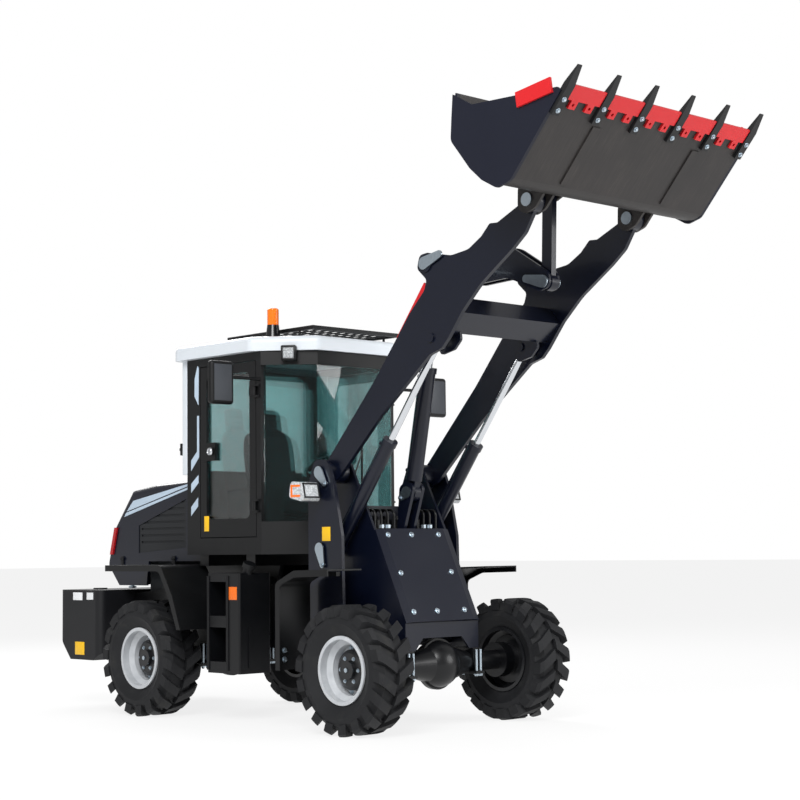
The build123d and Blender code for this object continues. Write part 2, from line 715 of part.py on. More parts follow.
def cutting_edges():
    """Bolt-on edge segments with two holed tabs each between the teeth, and the two side cutters."""
    half = (tooth_pitch - tooth_width) / 2 - 4
    tab = half * 0.2
    tab_root = floor_front - 95
    tab_end = floor_front - 40
    edge_tip = floor_front + 55
    segment = block((tab_end, edge_tip), (-half, half), (-edge_thickness, 0))
    for y in (-half * 0.5, half * 0.5):
        segment += block((tab_root, tab_end + 1), (y - tab, y + tab), (-edge_thickness, 0))
        segment -= Pos(tab_root + tab, y, 0) * Cylinder(tab * 0.35, 4 * edge_thickness)
    first = -tooth_pitch * (tooth_count - 2) / 2
    pieces = [Pos(0, first + i * tooth_pitch, 0) * (bucket_floor() * segment) for i in range(tooth_count - 1)]
    side = bucket_width / 2
    cutter = [bucket_place(a, b) for a, b in (
        (floor_front - 40, 40), (floor_front - 250, 220), (floor_front - 190, 290), (floor_front + 20, 110))]
    cutter_plate = flat(cutter, side, side + edge_thickness)
    return Compound(children=pieces + [cutter_plate, flip(cutter_plate)])


def barrel(length, diameter, rod_diameter, eye):
    """Cylinder barrel along +X from its foot eye, with a gland at the far end."""
    start = eye / 2 + 25
    closed = start + 12
    gland = 40.0
    tube = Pos((start + length) / 2, 0, 0) * Rot(0, 90, 0) * Cylinder(diameter / 2, length - start)
    tube += Pos(start / 2, 0, 0) * Box(start + 2, eye_width, eye * 0.7)
    head = Pos(length - gland / 2, 0, 0) * Rot(0, 90, 0) * Cylinder(diameter / 2 + 6, gland)
    foot = Rot(90, 0, 0) * Cylinder(eye / 2, eye_width)
    pipe_z = diameter / 2 + port_height / 2
    port_start = start + 60
    port_end = length - gland - 30
    line = Pos((port_start + port_end) / 2, 0, pipe_z) * Rot(0, 90, 0) * Cylinder(pipe_diameter / 2,
                                                                                  port_end - port_start)
    for x in (port_start, port_end):
        line += Pos(x, 0, diameter / 2) * Cylinder(pipe_diameter * 0.8, 2 * port_height)
    bore_length = length - gland - closed
    bore = Pos(closed + bore_length / 2, 0, 0) * Rot(0, 90, 0) * Cylinder(diameter / 2 - cylinder_wall, bore_length)
    way = Pos(closed + length / 2, 0, 0) * Rot(0, 90, 0) * Cylinder(rod_diameter / 2 + pin_gap, length)
    return joined(tube, head, foot, line) - bore - way


def rod(reach, length, diameter, eye):
    """Piston rod along +X, ending at its eye; the eye carries the middle of its pin."""
    shaft = Pos(reach - length / 2, 0, 0) * Rot(0, 90, 0) * Cylinder(diameter / 2, length)
    return joined(shaft, Pos(reach, 0, 0) * Rot(90, 0, 0) * Cylinder(eye / 2, eye_width))


def cylinder_in_side_view(foot, head, y):
    """Where a cylinder lies that is drawn in the XZ plane: its frame and its length."""
    run_x = head[0] - foot[0]
    run_z = head[1] - foot[1]
    frame = Pos(foot[0], y, foot[1]) * Rot(0, -degrees(atan2(run_z, run_x)), 0)
    return frame, hypot(run_x, run_z)


def lift_cylinders():
    """Both lift cylinders: a pair of barrels and a pair of rods."""
    frame, reach = cylinder_in_side_view((lift_foot_x, lift_foot_z), lift_pin, lift_plane)
    tube = frame * barrel(lift_barrel_length, lift_barrel_diameter, lift_rod_diameter, 116)
    tube -= bar_y((lift_foot_x, lift_foot_z), pin_bore, 0, 700)
    shaft = frame * rod(reach, lift_rod_length, lift_rod_diameter, 104)
    return twins(tube), twins(shaft)


def tilt_cylinder():
    """The bucket's cylinder in the middle plane: barrel and rod."""
    frame, reach = cylinder_in_side_view((tilt_foot_x, tilt_foot_z), tilt_pin, 0)
    tube = frame * barrel(tilt_barrel_length, tilt_barrel_diameter, tilt_rod_diameter, 120)
    tube -= bar_y((tilt_foot_x, tilt_foot_z), pin_bore, -200, 200)
    return tube, frame * rod(reach, tilt_rod_length, tilt_rod_diameter, 110)


def steer_cylinder(side):
    """One steering cylinder between the two frames: barrel and rod."""
    foot_y = side * steer_foot_y
    run_x = steer_head_x - steer_foot_x
    run_y = side * (steer_head_y - steer_foot_y)
    frame = Pos(steer_foot_x, foot_y, steer_z) * Rot(0, 0, degrees(atan2(run_y, run_x))) * Rot(90, 0, 0)
    half_eye = 20.0
    eye = 64.0
    closed = eye / 2 + 12
    length = steer_barrel_length
    tube = Pos(length / 2, 0, 0) * Rot(0, 90, 0) * Cylinder(steer_barrel_diameter / 2, length)
    tube += Rot(90, 0, 0) * Cylinder(eye / 2, 2 * half_eye)
    tube -= Pos(closed + length / 2, 0, 0) * Rot(0, 90, 0) * Cylinder(steer_rod_diameter / 2 + pin_gap, length)
    tube -= Rot(90, 0, 0) * Cylinder(20 + pin_gap, 200)
    reach = hypot(run_x, run_y)
    shaft = Pos(reach - steer_rod_length / 2, 0, 0) * Rot(0, 90, 0) * Cylinder(steer_rod_diameter / 2, steer_rod_length)
    shaft += Pos(reach, 0, 0) * Rot(90, 0, 0) * Cylinder(28, 2 * half_eye)
    return frame * tube, frame * shaft


def cab_plan(inset):
    """Six-sided plan of the cab, drawn in by an inset."""
    slope = hypot(cab_nose_x - cab_shoulder_x, cab_half_width - cab_nose_half_width)
    shoulder = inset * (slope - (cab_nose_x - cab_shoulder_x)) / (cab_half_width - cab_nose_half_width)
    nose = inset * (slope - (cab_half_width - cab_nose_half_width)) / (cab_nose_x - cab_shoulder_x)
    side = cab_half_width - inset
    front = cab_nose_half_width - nose
    return [(cab_rear_x + inset, -side), (cab_shoulder_x - shoulder, -side), (cab_nose_x - inset, -front),
            (cab_nose_x - inset, front), (cab_shoulder_x - shoulder, side), (cab_rear_x + inset, side)]


def cab_floor():
    """Floor plate of the cab."""
    return slab(cab_plan(0), cab_floor_z, cab_floor_z + cab_floor_plate)


def cab_rear_wall():
    """Rear wall with its window opening."""
    x = (cab_rear_x, cab_rear_x + cab_wall)
    wall = block(x, (-cab_half_width, cab_half_width), (cab_floor_z + cab_floor_plate, cab_top_z))
    half_knuckle = hinge_knuckle_length / 2
    for y in (-hood_hinge_y, hood_hinge_y):
        pin_end = half_knuckle + 2 + 12
        wall += bar_y((hood_hinge_x, hood_hinge_z), hinge_pin_diameter, y - pin_end, y + pin_end)
        for low in (y - pin_end, y + half_knuckle + 2):
            wall += block((hood_hinge_x - 8, cab_rear_x + 1), (low, low + 12), (hood_hinge_z - 8, hood_hinge_z + 8))
    half = cab_half_width - rear_window_inset
    window = block((x[0] - 1, x[1] + 1), (-half, half), (rear_window_sill_z, window_head_z))
    return wall - softened(window, window_corner, Axis.X)


def cab_sides():
    """Side frames with the door openings."""
    x = (cab_rear_x + cab_wall, cab_shoulder_x)
    wall = block(x, (cab_half_width - cab_wall, cab_half_width), (cab_floor_z + cab_floor_plate, cab_top_z))
    opening = block((door_rear_x, door_front_x), (0, cab_half_width + 1), (door_sill_z, door_head_z))
    wall -= opening
    half_knuckle = hinge_knuckle_length / 2
    for z in door_hinge_heights:
        pin_end = half_knuckle + 2 + 14
        wall += bar_z((door_hinge_x, door_hinge_y), hinge_pin_diameter, z - pin_end, z + pin_end)
        for low in (z - pin_end, z + half_knuckle + 2):
            ends = (low, low + 14)
            wall += block((door_front_x + 2, door_front_x + 40), (cab_half_width - 1, door_hinge_y + 8), ends)
            wall += block((door_hinge_x - 8, door_front_x + 3), (cab_half_width + 3, door_hinge_y + 8), ends)
    return twins(wall)


def cab_front_frame():
    """Frame of the three-sided windscreen: bands below and above the glass."""
    ring = slab(cab_plan(0), cab_floor_z + cab_floor_plate, cab_top_z)
    ring -= slab(cab_plan(cab_wall), cab_floor_z, cab_top_z + 1)
    ring -= block((cab_rear_x - 1, cab_shoulder_x), (-1000, 1000), (0, 4000))
    return ring - block((cab_shoulder_x - 1, 1000), (-1000, 1000), (window_sill_z, window_head_z))


def cab_glass():
    """Windscreen round the nose, and the rear window."""
    middle = cab_wall / 2
    z = (window_sill_z + glass_gap, window_head_z - glass_gap)
    screen = slab(cab_plan(middle - glass_thickness / 2), *z) - slab(cab_plan(middle + glass_thickness / 2), 0, 4000)
    screen -= block((cab_rear_x - 1, cab_shoulder_x + glass_gap), (-1000, 1000), (0, 4000))
    x = cab_rear_x + middle
    half = cab_half_width - rear_window_inset - glass_gap
    rear = block((x - glass_thickness / 2, x + glass_thickness / 2), (-half, half),
                 (rear_window_sill_z + glass_gap, window_head_z - glass_gap))
    return Compound(children=[screen, softened(rear, window_corner - glass_gap, Axis.X)])


def roof_plan():
    """Outline of the roof from above: the cab's six sides with an overhang."""
    front = cab_nose_x + (roof_half_width - cab_half_width) / 2
    nose = cab_nose_half_width + 20
    shoulder = cab_shoulder_x - 60
    return [(roof_rear_x, -roof_half_width), (shoulder, -roof_half_width), (front, -nose), (front, nose),
            (shoulder, roof_half_width), (roof_rear_x, roof_half_width)]


def cab_roof():
    """Moulded roof cap with soft edges, and the two corner posts that come down behind the cab."""
    cap = softened(slab(roof_plan(), cab_top_z, cab_top_z + roof_thickness), 70, Axis.Z)
    cap = fillet(cap.faces().sort_by(Axis.Z)[-1].edges(), 45)
    post = block((roof_rear_x + 40, cab_rear_x), (cab_half_width - 110, cab_half_width), (roof_post_z, cab_top_z + 1))
    post = softened(post, 18, Axis.Z)
    return joined(cap, post, flip(post))


def roof_rack():
    """Meshed guard over the front of the roof, on short legs."""
    x = (rack_rear_x, rack_front_x)
    half = rack_half_width
    bar = 26.0
    wire = 9.0
    z = cab_top_z + roof_thickness
    rail_z = (z + rack_rise, z + rack_rise + bar)
    wire_z = (rail_z[0] + bar / 2 - wire / 2, rail_z[0] + bar / 2 + wire / 2)
    frame = block(x, (-half, half), rail_z) - block((x[0] + bar, x[1] - bar), (bar - half, half - bar), (z, 2 * z))
    rows = 11
    wires = [block(x, (y - wire / 2, y + wire / 2), wire_z)
             for y in (-half + 2 * half * i / rows for i in range(1, rows))]
    columns = 9
    wires += [block((px - wire / 2, px + wire / 2), (-half, half), wire_z)
              for px in (x[0] + (x[1] - x[0]) * i / columns for i in range(1, columns))]
    inner = block(x, (-half, half), (z, 2 * z))
    legs = [bar_z((px, y), 18, z, rail_z[0] + 5)
            for px in (x[0] + 60, x[1] - 160) for y in (bar / 2 - half, half - bar / 2)]
    return frame + [w & inner for w in wires] + legs


def seat():
    """Operator's seat: pedestal, cushion, reclined backrest and headrest as one padded solid."""
    floor = cab_floor_z + cab_floor_plate
    x = seat_x
    return joined(
        block((x - 160, x + 160), (-190, 190), (floor, floor + 250)),
        softened(block((x - 220, x + 240), (-240, 240), (floor + 240, floor + 370)), 40),
        Pos(x - 180, 0, floor + 600) * Rot(0, -8, 0) * softened(Box(110, 440, 560), 45),
        Pos(x - 230, 0, floor + 940) * Rot(0, -8, 0) * softened(Box(80, 260, 200), 35))


def controls():
    """Dashboard column with the steering wheel, and the side console with its lever."""
    floor = cab_floor_z + cab_floor_plate
    column = flat([(130, floor), (250, floor), (180, floor + 520), (90, floor + 480)], -110, 110)
    wheel = Pos(45, 0, floor + 590) * Rot(0, -25, 0) * Torus(185, 15)
    spokes = Pos(45, 0, floor + 590) * Rot(0, -25, 0) * Box(36, 370, 16)
    stem = Pos(75, 0, floor + 525) * Rot(0, -25, 0) * Cylinder(24, 150)
    console = block((-560, -120), (-470, -300), (floor, floor + 420))
    lever = bar_z((-200, -385), 26, floor + 419, floor + 600)
    return Compound(children=[joined(column, stem, spokes, wheel), joined(console, lever)])


def beacon():
    """Warning beacon on its base at the right of the roof."""
    z = cab_top_z + roof_thickness
    place = (beacon_x, beacon_y)
    foot_height = 95.0
    foot = Pos(beacon_x, beacon_y, z + foot_height / 2) * Cone(54, 42, foot_height)
    dome = bar_z(place, 82, z + foot_height - 1, z + foot_height + 120)
    dome = fillet(dome.faces().sort_by(Axis.Z)[-1].edges(), 14)
    return joined(foot, dome)


def work_lights():
    """Square work lamps on the roof's slanting front edges."""
    plan = roof_plan()
    run_x = plan[2][0] - plan[1][0]
    run_y = plan[2][1] - plan[1][1]
    share = 0.59
    size = 108.0
    depth = 58.0
    angle = degrees(atan2(run_y, run_x))
    place = Pos(plan[1][0] + share * run_x, plan[1][1] + share * run_y, cab_top_z - 25) * Rot(0, 0, angle)
    lamp = place * Pos(0, -depth / 2, 0) * softened(Box(size, depth, size), 12, Axis.Y)
    return twins(lamp)


def mirrors():
    """Rear-view mirrors with rounded heads on bent arms from the front door posts."""
    head = softened(Pos(mirror_x, mirror_y, mirror_z) * Box(56, 200, 300), 24)
    arm_x = cab_shoulder_x - 14
    arm = bar_y((arm_x, mirror_arm_z), 24, cab_half_width, mirror_y - 35)
    reach = Pos((arm_x + mirror_x) / 2, mirror_y - 35, mirror_arm_z) * Rot(0, 90, 0) * Cylinder(12, mirror_x - arm_x)
    elbow = Pos(arm_x, mirror_y - 35, mirror_arm_z) * Sphere(12)
    return twins(joined(head, arm, elbow, reach))


def door():
    """Left door: frame and glass."""
    x = (door_rear_x + door_gap, door_front_x - door_gap)
    z = (door_sill_z + door_gap, door_head_z - door_gap)
    rim = 70.0
    y = (cab_half_width - cab_wall, cab_half_width)
    frame = block(x, y, z)
    window_x = (x[0] + rim, x[1] - rim)
    window_z = (z[0] + rim + 60, z[1] - rim)
    frame -= softened(block(window_x, (y[0] - 1, y[1] + 1), window_z), window_corner, Axis.Y)
    lock = block((x[0] + 4, x[0] + door_lock_width), (y[0], y[1] + 4), (door_lock_z - 65, door_lock_z + 65))
    frame += joined(lock, bar_y((x[0] + door_lock_width - 40, door_lock_z), 56, y[1], y[1] + 22))
    for hinge_z in door_hinge_heights:
        ends = (hinge_z - hinge_knuckle_length / 2, hinge_z + hinge_knuckle_length / 2)
        leaf = block((x[1] - 60, door_hinge_x), (y[1] - 1, door_hinge_y - 4), ends)
        frame += joined(leaf, bar_z((door_hinge_x, door_hinge_y), hinge_knuckle_diameter, *ends))
        frame -= bar_z((door_hinge_x, door_hinge_y), hinge_pin_diameter + 2 * pin_gap, ends[0] - 1, ends[1] + 1)
    middle = sum(y) / 2
    pane = block((window_x[0] + glass_gap, window_x[1] - glass_gap),
                 (middle - glass_thickness / 2, middle + glass_thickness / 2),
                 (window_z[0] + glass_gap, window_z[1] - glass_gap))
    notch = block((x[0], x[0] + door_lock_width + glass_gap), y,
                  (door_lock_z - 65 - glass_gap, door_lock_z + 65 + glass_gap))
    return frame, softened(pane, window_corner - glass_gap, Axis.Y) - notch


def hood_outline(inset):
    """Side outline of the engine hood, drawn in by an inset along its top and rear."""
    return [(hood_front_x, hood_edge_z), (hood_front_x, hood_top_z - inset), (hood_knee_x, hood_top_z - 25 - inset),
            (hood_brow_x + inset / 2, hood_brow_z - inset), (hood_grille_top_x + inset, hood_grille_top_z),
            (hood_rear_x + inset, hood_grille_base_z), (hood_rear_x + inset, hood_grille_base_z - 30),
            (hood_rear_x + hood_tail_cut + inset / 2, hood_tail_z), (hood_step_x - 30, hood_tail_z),
            (hood_step_x, hood_edge_z)]


def grille_window(gap):
    """Box that bounds the rear grille, drawn in by a gap."""
    half = hood_grille_half_width - gap
    return block((hood_rear_x - 100, hood_brow_x - 60), (-half, half),
                 (hood_grille_base_z + 40 + gap, hood_grille_top_z - 30 - gap))


def hood():
    """Engine hood: a rounded shell, open below and at the front, with side vents and a rear grille opening."""
    half = hood_half_width
    shell = flat(hood_outline(0), -half, half)
    shell = fillet(shell.edges().filter_by(GeomType.LINE).filter_by(
        lambda e: abs(abs(e.center().Y) - half) < 1 and e.center().Z > hood_grille_top_z
        and abs(e.center().X - hood_front_x) > 1), 45)
    cavity = flat([(hood_front_x + 1, hood_tail_z - 100), (hood_front_x + 1, hood_top_z - hood_wall)]
                  + hood_outline(hood_wall)[2:8] + [(hood_rear_x + hood_tail_cut, hood_tail_z - 100)],
                  hood_wall - half, half - hood_wall)
    shell -= cavity
    for y in (-hood_hinge_y, hood_hinge_y):
        ends = (y - hinge_knuckle_length / 2, y + hinge_knuckle_length / 2)
        tongue = block((hood_front_x - 30, hood_hinge_x), ends, (hood_hinge_z - 4, hood_hinge_z + 8))
        shell += joined(tongue, bar_y((hood_hinge_x, hood_hinge_z), 22, *ends))
        shell -= bar_y((hood_hinge_x, hood_hinge_z), hinge_pin_diameter + 2 * pin_gap, ends[0] - 1, ends[1] + 1)
    return shell - flat(vent_corners(0), -2 * half, 2 * half) - grille_window(0)


def vent_corners(inset):
    """Corners of the slanted side vents."""
    rear = vent_rear_x + inset
    front = vent_front_x - inset
    return [(rear, vent_base_z + inset), (rear, vent_rear_top_z - inset), (front, vent_front_top_z - inset),
            (front, vent_base_z + 35 + inset)]


def hood_vents():
    """Louvred panels in the hood's sides, and the slotted grille in its rear."""
    face = hood_half_width - 6
    panel = flat(vent_corners(pin_gap), hood_half_width - hood_wall, face)
    rise = (vent_front_top_z - vent_base_z) / (louvre_count + 1)
    for i in range(1, louvre_count + 1):
        z = vent_base_z + 25 + i * rise
        panel -= block((vent_rear_x + 30, vent_front_x - 30), (face - louvre_depth, face + 1), (z, z + louvre_gap))
    inner = [(x, z) for x, z in hood_outline(hood_wall)]
    grille = flat(hood_outline(6), -hood_half_width, hood_half_width) - flat(
        inner[:1] + [(hood_front_x + 1, z) for x, z in inner[1:2]] + inner[2:], -hood_half_width, hood_half_width)
    grille &= grille_window(pin_gap)
    base = hood_grille_base_z + 40
    step = (hood_grille_top_z - 30 - base) / (grille_slot_count + 1)
    slot_half = hood_grille_half_width - 30
    for i in range(1, grille_slot_count + 1):
        z = base + i * step
        grille -= block((hood_rear_x - 100, hood_brow_x), (-slot_half, slot_half), (z - step / 4, z + step / 4))
    return Compound(children=[panel, flip(panel), grille])


def tail_lights():
    """Upright lamp strips on the hood's rear corners."""
    low_z = hood_grille_base_z + 60
    high_z = hood_grille_top_z - 40
    lean = (hood_grille_top_x - hood_rear_x) / (hood_grille_top_z - hood_grille_base_z)
    low_x = hood_rear_x + lean * 60
    high_x = hood_rear_x + lean * (high_z - hood_grille_base_z)
    strip = flat([(low_x + 8, low_z), (high_x + 8, high_z), (high_x + 44, high_z), (low_x + 44, low_z)],
                 hood_half_width, hood_half_width + 14)
    return twins(strip)


def counterweight():
    """Cast rear weight with a cut lower corner, the tow slot with its pin hole, and two lifting pads."""
    shape = flat(
        [(weight_front_x, weight_base_z + 60), (weight_front_x, weight_top_z), (weight_rear_x, weight_top_z),
         (weight_rear_x, weight_base_z + 180), (weight_rear_x + 160, weight_base_z),
         (weight_front_x - 80, weight_base_z)], -weight_half_width, weight_half_width)
    shape = softened(shape, 60, Axis.Z)
    pin_x = weight_rear_x + hitch_setback
    slot_z = (weight_top_z - 130, weight_top_z - 55)
    shape -= block((weight_rear_x - 1, pin_x + 60), (-60, 60), slot_z)
    middle = (weight_rear_x + weight_front_x) / 2
    for y in (-weight_half_width * 0.7, weight_half_width * 0.7):
        shape += bar_z((middle, y), 110, weight_top_z - 1, weight_top_z + 12)
    return shape - bar_z((pin_x, 0), hitch_pin_diameter, slot_z[0] - 70, weight_top_z + 1)


def engine_block():
    """Engine and gearbox as one plain mass on the frame's cross members."""
    return block((-1800, -820), (-270, 270), (640, 1480))


def rear_fenders():
    """Bent guards over the rear wheels with a turned-down outer lip, seated on the frame."""
    top = frame_top_z + fender_plate
    rear = axle_rear_x - 385
    bend = axle_rear_x + 315

    def guard(depth, y_low, y_high):
        return rounded(
            [(rear, top), (bend, top), (bend + 140, top - 215), (bend + 240, fender_foot_z),
             (bend + 240 - depth, fender_foot_z), (bend + 140 - depth, top - 215 - depth * 0.4),
             (bend - depth * 0.5, top - depth), (rear, top - depth)],
            [0, 70, 60, 0, 0, 60, 60, 0], y_low, y_high)

    sheet = guard(fender_plate, tank_inner_y + 20, fender_outer_y)
    lip = guard(fender_lip, fender_outer_y - fender_plate, fender_outer_y)
    saddle = block((rear + 20, bend - 100), (frame_half_width - frame_plate, tank_inner_y + 21), (frame_top_z, top))
    return twins(joined(sheet, lip, saddle))


def step_tanks():
    """Side tanks with two step openings, ladder rails, level gauge and filler neck, hung on the frame."""
    step_front = tank_front_x - 150
    body = block((tank_rear_x, tank_front_x), (tank_inner_y, tank_outer_y), (tank_base_z, tank_top_z))
    body = softened(body, 14, Axis.Z)
    for z in ((tank_base_z + 80, tank_base_z + 320), (tank_base_z + 400, tank_top_z - 60)):
        body -= block((tank_rear_x + 30, step_front), (tank_outer_y - 150, tank_outer_y + 1), z)
    for z in (tank_base_z + 220, tank_top_z - 80):
        body += block((tank_rear_x + 60, tank_front_x - 160), (frame_half_width, tank_inner_y + 1), (z, z + 50))
    for x in (tank_rear_x + 15, step_front + 15):
        body += bar_z((x, tank_outer_y), ladder_rail, tank_base_z + 20, tank_top_z - 20)
    gauge_y = tank_outer_y - 90
    body += block((tank_front_x - 1, tank_front_x + 8), (gauge_y - 14, gauge_y + 14), (tank_base_z + 40, tank_base_z + 320))
    neck = Pos(tank_front_x - 30, gauge_y, tank_top_z) * Rot(0, 25, 0)
    body += neck * Cylinder(34, 2 * filler_height)
    body += neck * Pos(0, 0, filler_height) * Cylinder(46, 34)
    return twins(body)


def front_fenders():
    """Bent guards behind and over the front wheels with a turned-down outer lip, carried by the tower."""
    t = fender_plate
    rear = axle_front_x - 615
    front = axle_front_x - 85
    top = front_fender_top_z
    y_low = tower_outer_y + tower_plate + 40

    def guard(depth, low, high):
        return rounded(
            [(rear, front_fender_foot_z), (rear, top - 90), (rear + 190, top - 8), (front, top),
             (front, top - depth), (rear + 195, top - 8 - depth), (rear + depth, top - 90 - depth * 0.4),
             (rear + depth, front_fender_foot_z)], [0, 50, 80, 0, 0, 80, 40, 0], low, high)

    arm = block((rear + 140, rear + 280), (tower_outer_y + tower_plate, y_low + 1), (top - 50, top - 20))
    return twins(joined(guard(t, y_low, fender_outer_y), guard(fender_lip, fender_outer_y - t, fender_outer_y), arm))


def headlights():
    """Lamp clusters with slanting housings on stalks beside the tower."""
    y = tower_outer_y + tower_plate
    outer = (y + 45, y + 190)
    low = headlight_z - 72
    high = headlight_z + 68
    x = headlight_x
    housing = rounded([(x - 75, low + 30), (x - 55, high), (x + 62, high - 12), (x + 85, low + 22), (x + 60, low)],
                      [25, 30, 30, 22, 22], *outer)
    stalk = bar_y((x, headlight_z), 34, y, outer[0] + 1)
    return twins(joined(housing, stalk))


def hydraulic_lines():
    """Control valve on the tower's deck, with bent pipes that go down into the deck at each side."""
    deck = hydraulic_deck_z
    valve = block((600, 760), (-200, 200), (deck, deck + 100))
    for i in range(4):
        valve += Pos(680, -150 + i * 100, deck + 112) * Cylinder(22, 30)
    for y in (110, 170, 230, 290):
        start = deck + 99 if y < 200 else deck
        route = FilletPolyline((700, y, start), (700, y, deck + 165), (830, y, deck + 165), (830, y, deck),
                               radius=pipe_diameter * 2)
        tube = sweep(Plane(origin=route @ 0, z_dir=route % 0) * Circle(pipe_diameter / 2), path=route)
        nut = bar_z((830, y), pipe_diameter * 1.7, deck, deck + 40)
        valve = valve + [tube, nut, flip(tube), flip(nut)]
    return valve


def build_nodes():
    """Every node of the loader by name, placed from the articulation pin."""
    nodes = {
        "rear_frame": rear_frame(), "rear_axle": axle(axle_rear_x), "engine_block": engine_block(),
        "counterweight": counterweight(), "rear_fenders": rear_fenders(), "step_tanks": step_tanks(),
        "cab_floor": cab_floor(), "cab_rear_wall": cab_rear_wall(), "cab_sides": cab_sides(),
        "cab_front_frame": cab_front_frame(), "cab_glass": cab_glass(), "cab_roof": cab_roof(),
        "roof_rack": roof_rack(), "seat": seat(), "controls": controls(), "beacon": beacon(),
        "work_lights": work_lights(), "mirrors": mirrors(),
        "hood": hood(), "hood_vents": hood_vents(), "tail_lights": tail_lights(),
        "front_frame": front_frame(), "tower_cover": tower_cover(), "front_axle": axle(axle_front_x),
        "front_fenders": front_fenders(), "headlights": headlights(), "hydraulic_lines": hydraulic_lines(),
        "boom": boom(), "safety_strut": safety_strut(), "bucket_pins": bucket_pins(), "bucket": bucket(),
        "bucket_teeth": bucket_teeth(), "cutting_edges": cutting_edges(), "bellcrank_pin": bellcrank_pin(),
        "bellcrank": bellcrank(), "link_pin": bellcrank_link_pin(), "tilt_link": tilt_link(),
    }
    nodes["lift_barrels"], nodes["lift_rods"] = lift_cylinders()
    nodes["tilt_barrel"], nodes["tilt_rod"] = tilt_cylinder()
    frame, glass = door()
    for name, side in (("left", 1), ("right", -1)):
        nodes["steer_barrel_" + name], nodes["steer_rod_" + name] = steer_cylinder(side)
        nodes["door_" + name] = frame if side > 0 else flip(frame)
        nodes["door_glass_" + name] = glass if side > 0 else flip(glass)
        turn = Rot(0, 0, 180 if side > 0 else 0)
        for end, x in (("front", axle_front_x), ("rear", axle_rear_x)):
            place = Pos(x, side * track / 2, wheel_z) * turn
            nodes["rim_" + end + "_" + name] = place * wheel_rim()
            nodes["tyre_" + end + "_" + name] = place * wheel_tyre()
    return nodes


nodes = build_nodes()
boxes = [node.bounding_box() for node in nodes.values()]
shift_x = -(min(b.min.X for b in boxes) + max(b.max.X for b in boxes)) / 2

os.makedirs("parts", exist_ok=True)
for name, node in nodes.items():
    export_step(Pos(shift_x, 0, 0) * node, "parts/" + name + ".step")
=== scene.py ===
import json
import math
import bpy
import bmesh
from mathutils import Matrix, Vector


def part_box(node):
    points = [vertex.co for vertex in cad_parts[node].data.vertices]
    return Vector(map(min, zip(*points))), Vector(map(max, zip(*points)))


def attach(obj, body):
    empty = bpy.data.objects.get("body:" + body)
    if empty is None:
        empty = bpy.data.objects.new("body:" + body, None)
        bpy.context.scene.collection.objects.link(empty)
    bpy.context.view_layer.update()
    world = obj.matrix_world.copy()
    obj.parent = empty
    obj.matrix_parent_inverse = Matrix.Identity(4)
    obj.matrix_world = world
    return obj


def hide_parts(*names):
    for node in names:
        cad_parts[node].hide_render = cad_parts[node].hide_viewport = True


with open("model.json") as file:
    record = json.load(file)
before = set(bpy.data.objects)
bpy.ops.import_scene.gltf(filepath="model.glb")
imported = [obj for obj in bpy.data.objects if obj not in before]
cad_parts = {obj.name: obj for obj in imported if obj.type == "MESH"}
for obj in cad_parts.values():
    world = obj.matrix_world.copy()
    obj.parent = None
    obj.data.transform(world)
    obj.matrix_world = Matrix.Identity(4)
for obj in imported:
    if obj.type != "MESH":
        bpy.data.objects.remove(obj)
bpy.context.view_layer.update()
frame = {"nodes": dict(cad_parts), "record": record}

joints = {joint["name"]: joint for joint in frame["record"]["behaviour"]["joints"]}
pivotX = joints["steer"]["pos_m"][0]  # the articulation pin, from which lengths along the loader are given


def at(x, y, z):
    return Vector((x + pivotX, y, z))


def linear(hexColor):
    parts = [int(hexColor[i:i + 2], 16) / 255 for i in (1, 3, 5)]
    return tuple(p / 12.92 if p <= 0.04045 else ((p + 0.055) / 1.055) ** 2.4 for p in parts) + (1.0,)


def addNode(tree, kind, settings=None, links=None):
    node = tree.nodes.new(kind)
    for key, value in (settings or {}).items():
        if isinstance(key, str) and hasattr(node, key):
            setattr(node, key, value)
        else:
            node.inputs[key].default_value = value
    for key, output in (links or {}).items():
        tree.links.new(output, node.inputs[key])
    return node


def rampStops(node, stops):
    ramp = node.color_ramp
    while len(ramp.elements) > 2:
        ramp.elements.remove(ramp.elements[-1])
    while len(ramp.elements) < len(stops):
        ramp.elements.new(0.5)
    for element, (place, color) in zip(ramp.elements, stops):
        element.position = place
        element.color = color


def newMaterial(name, shaderSettings):
    material = bpy.data.materials.new(name)
    material.use_nodes = True
    tree = material.node_tree
    tree.nodes.clear()
    shader = addNode(tree, "ShaderNodeBsdfPrincipled", shaderSettings)
    addNode(tree, "ShaderNodeOutputMaterial", links={"Surface": shader.outputs["BSDF"]})
    place = addNode(tree, "ShaderNodeTexCoord").outputs["Object"]
    return material, tree, shader, place


def grey(value):
    return (value, value, value, 1.0)


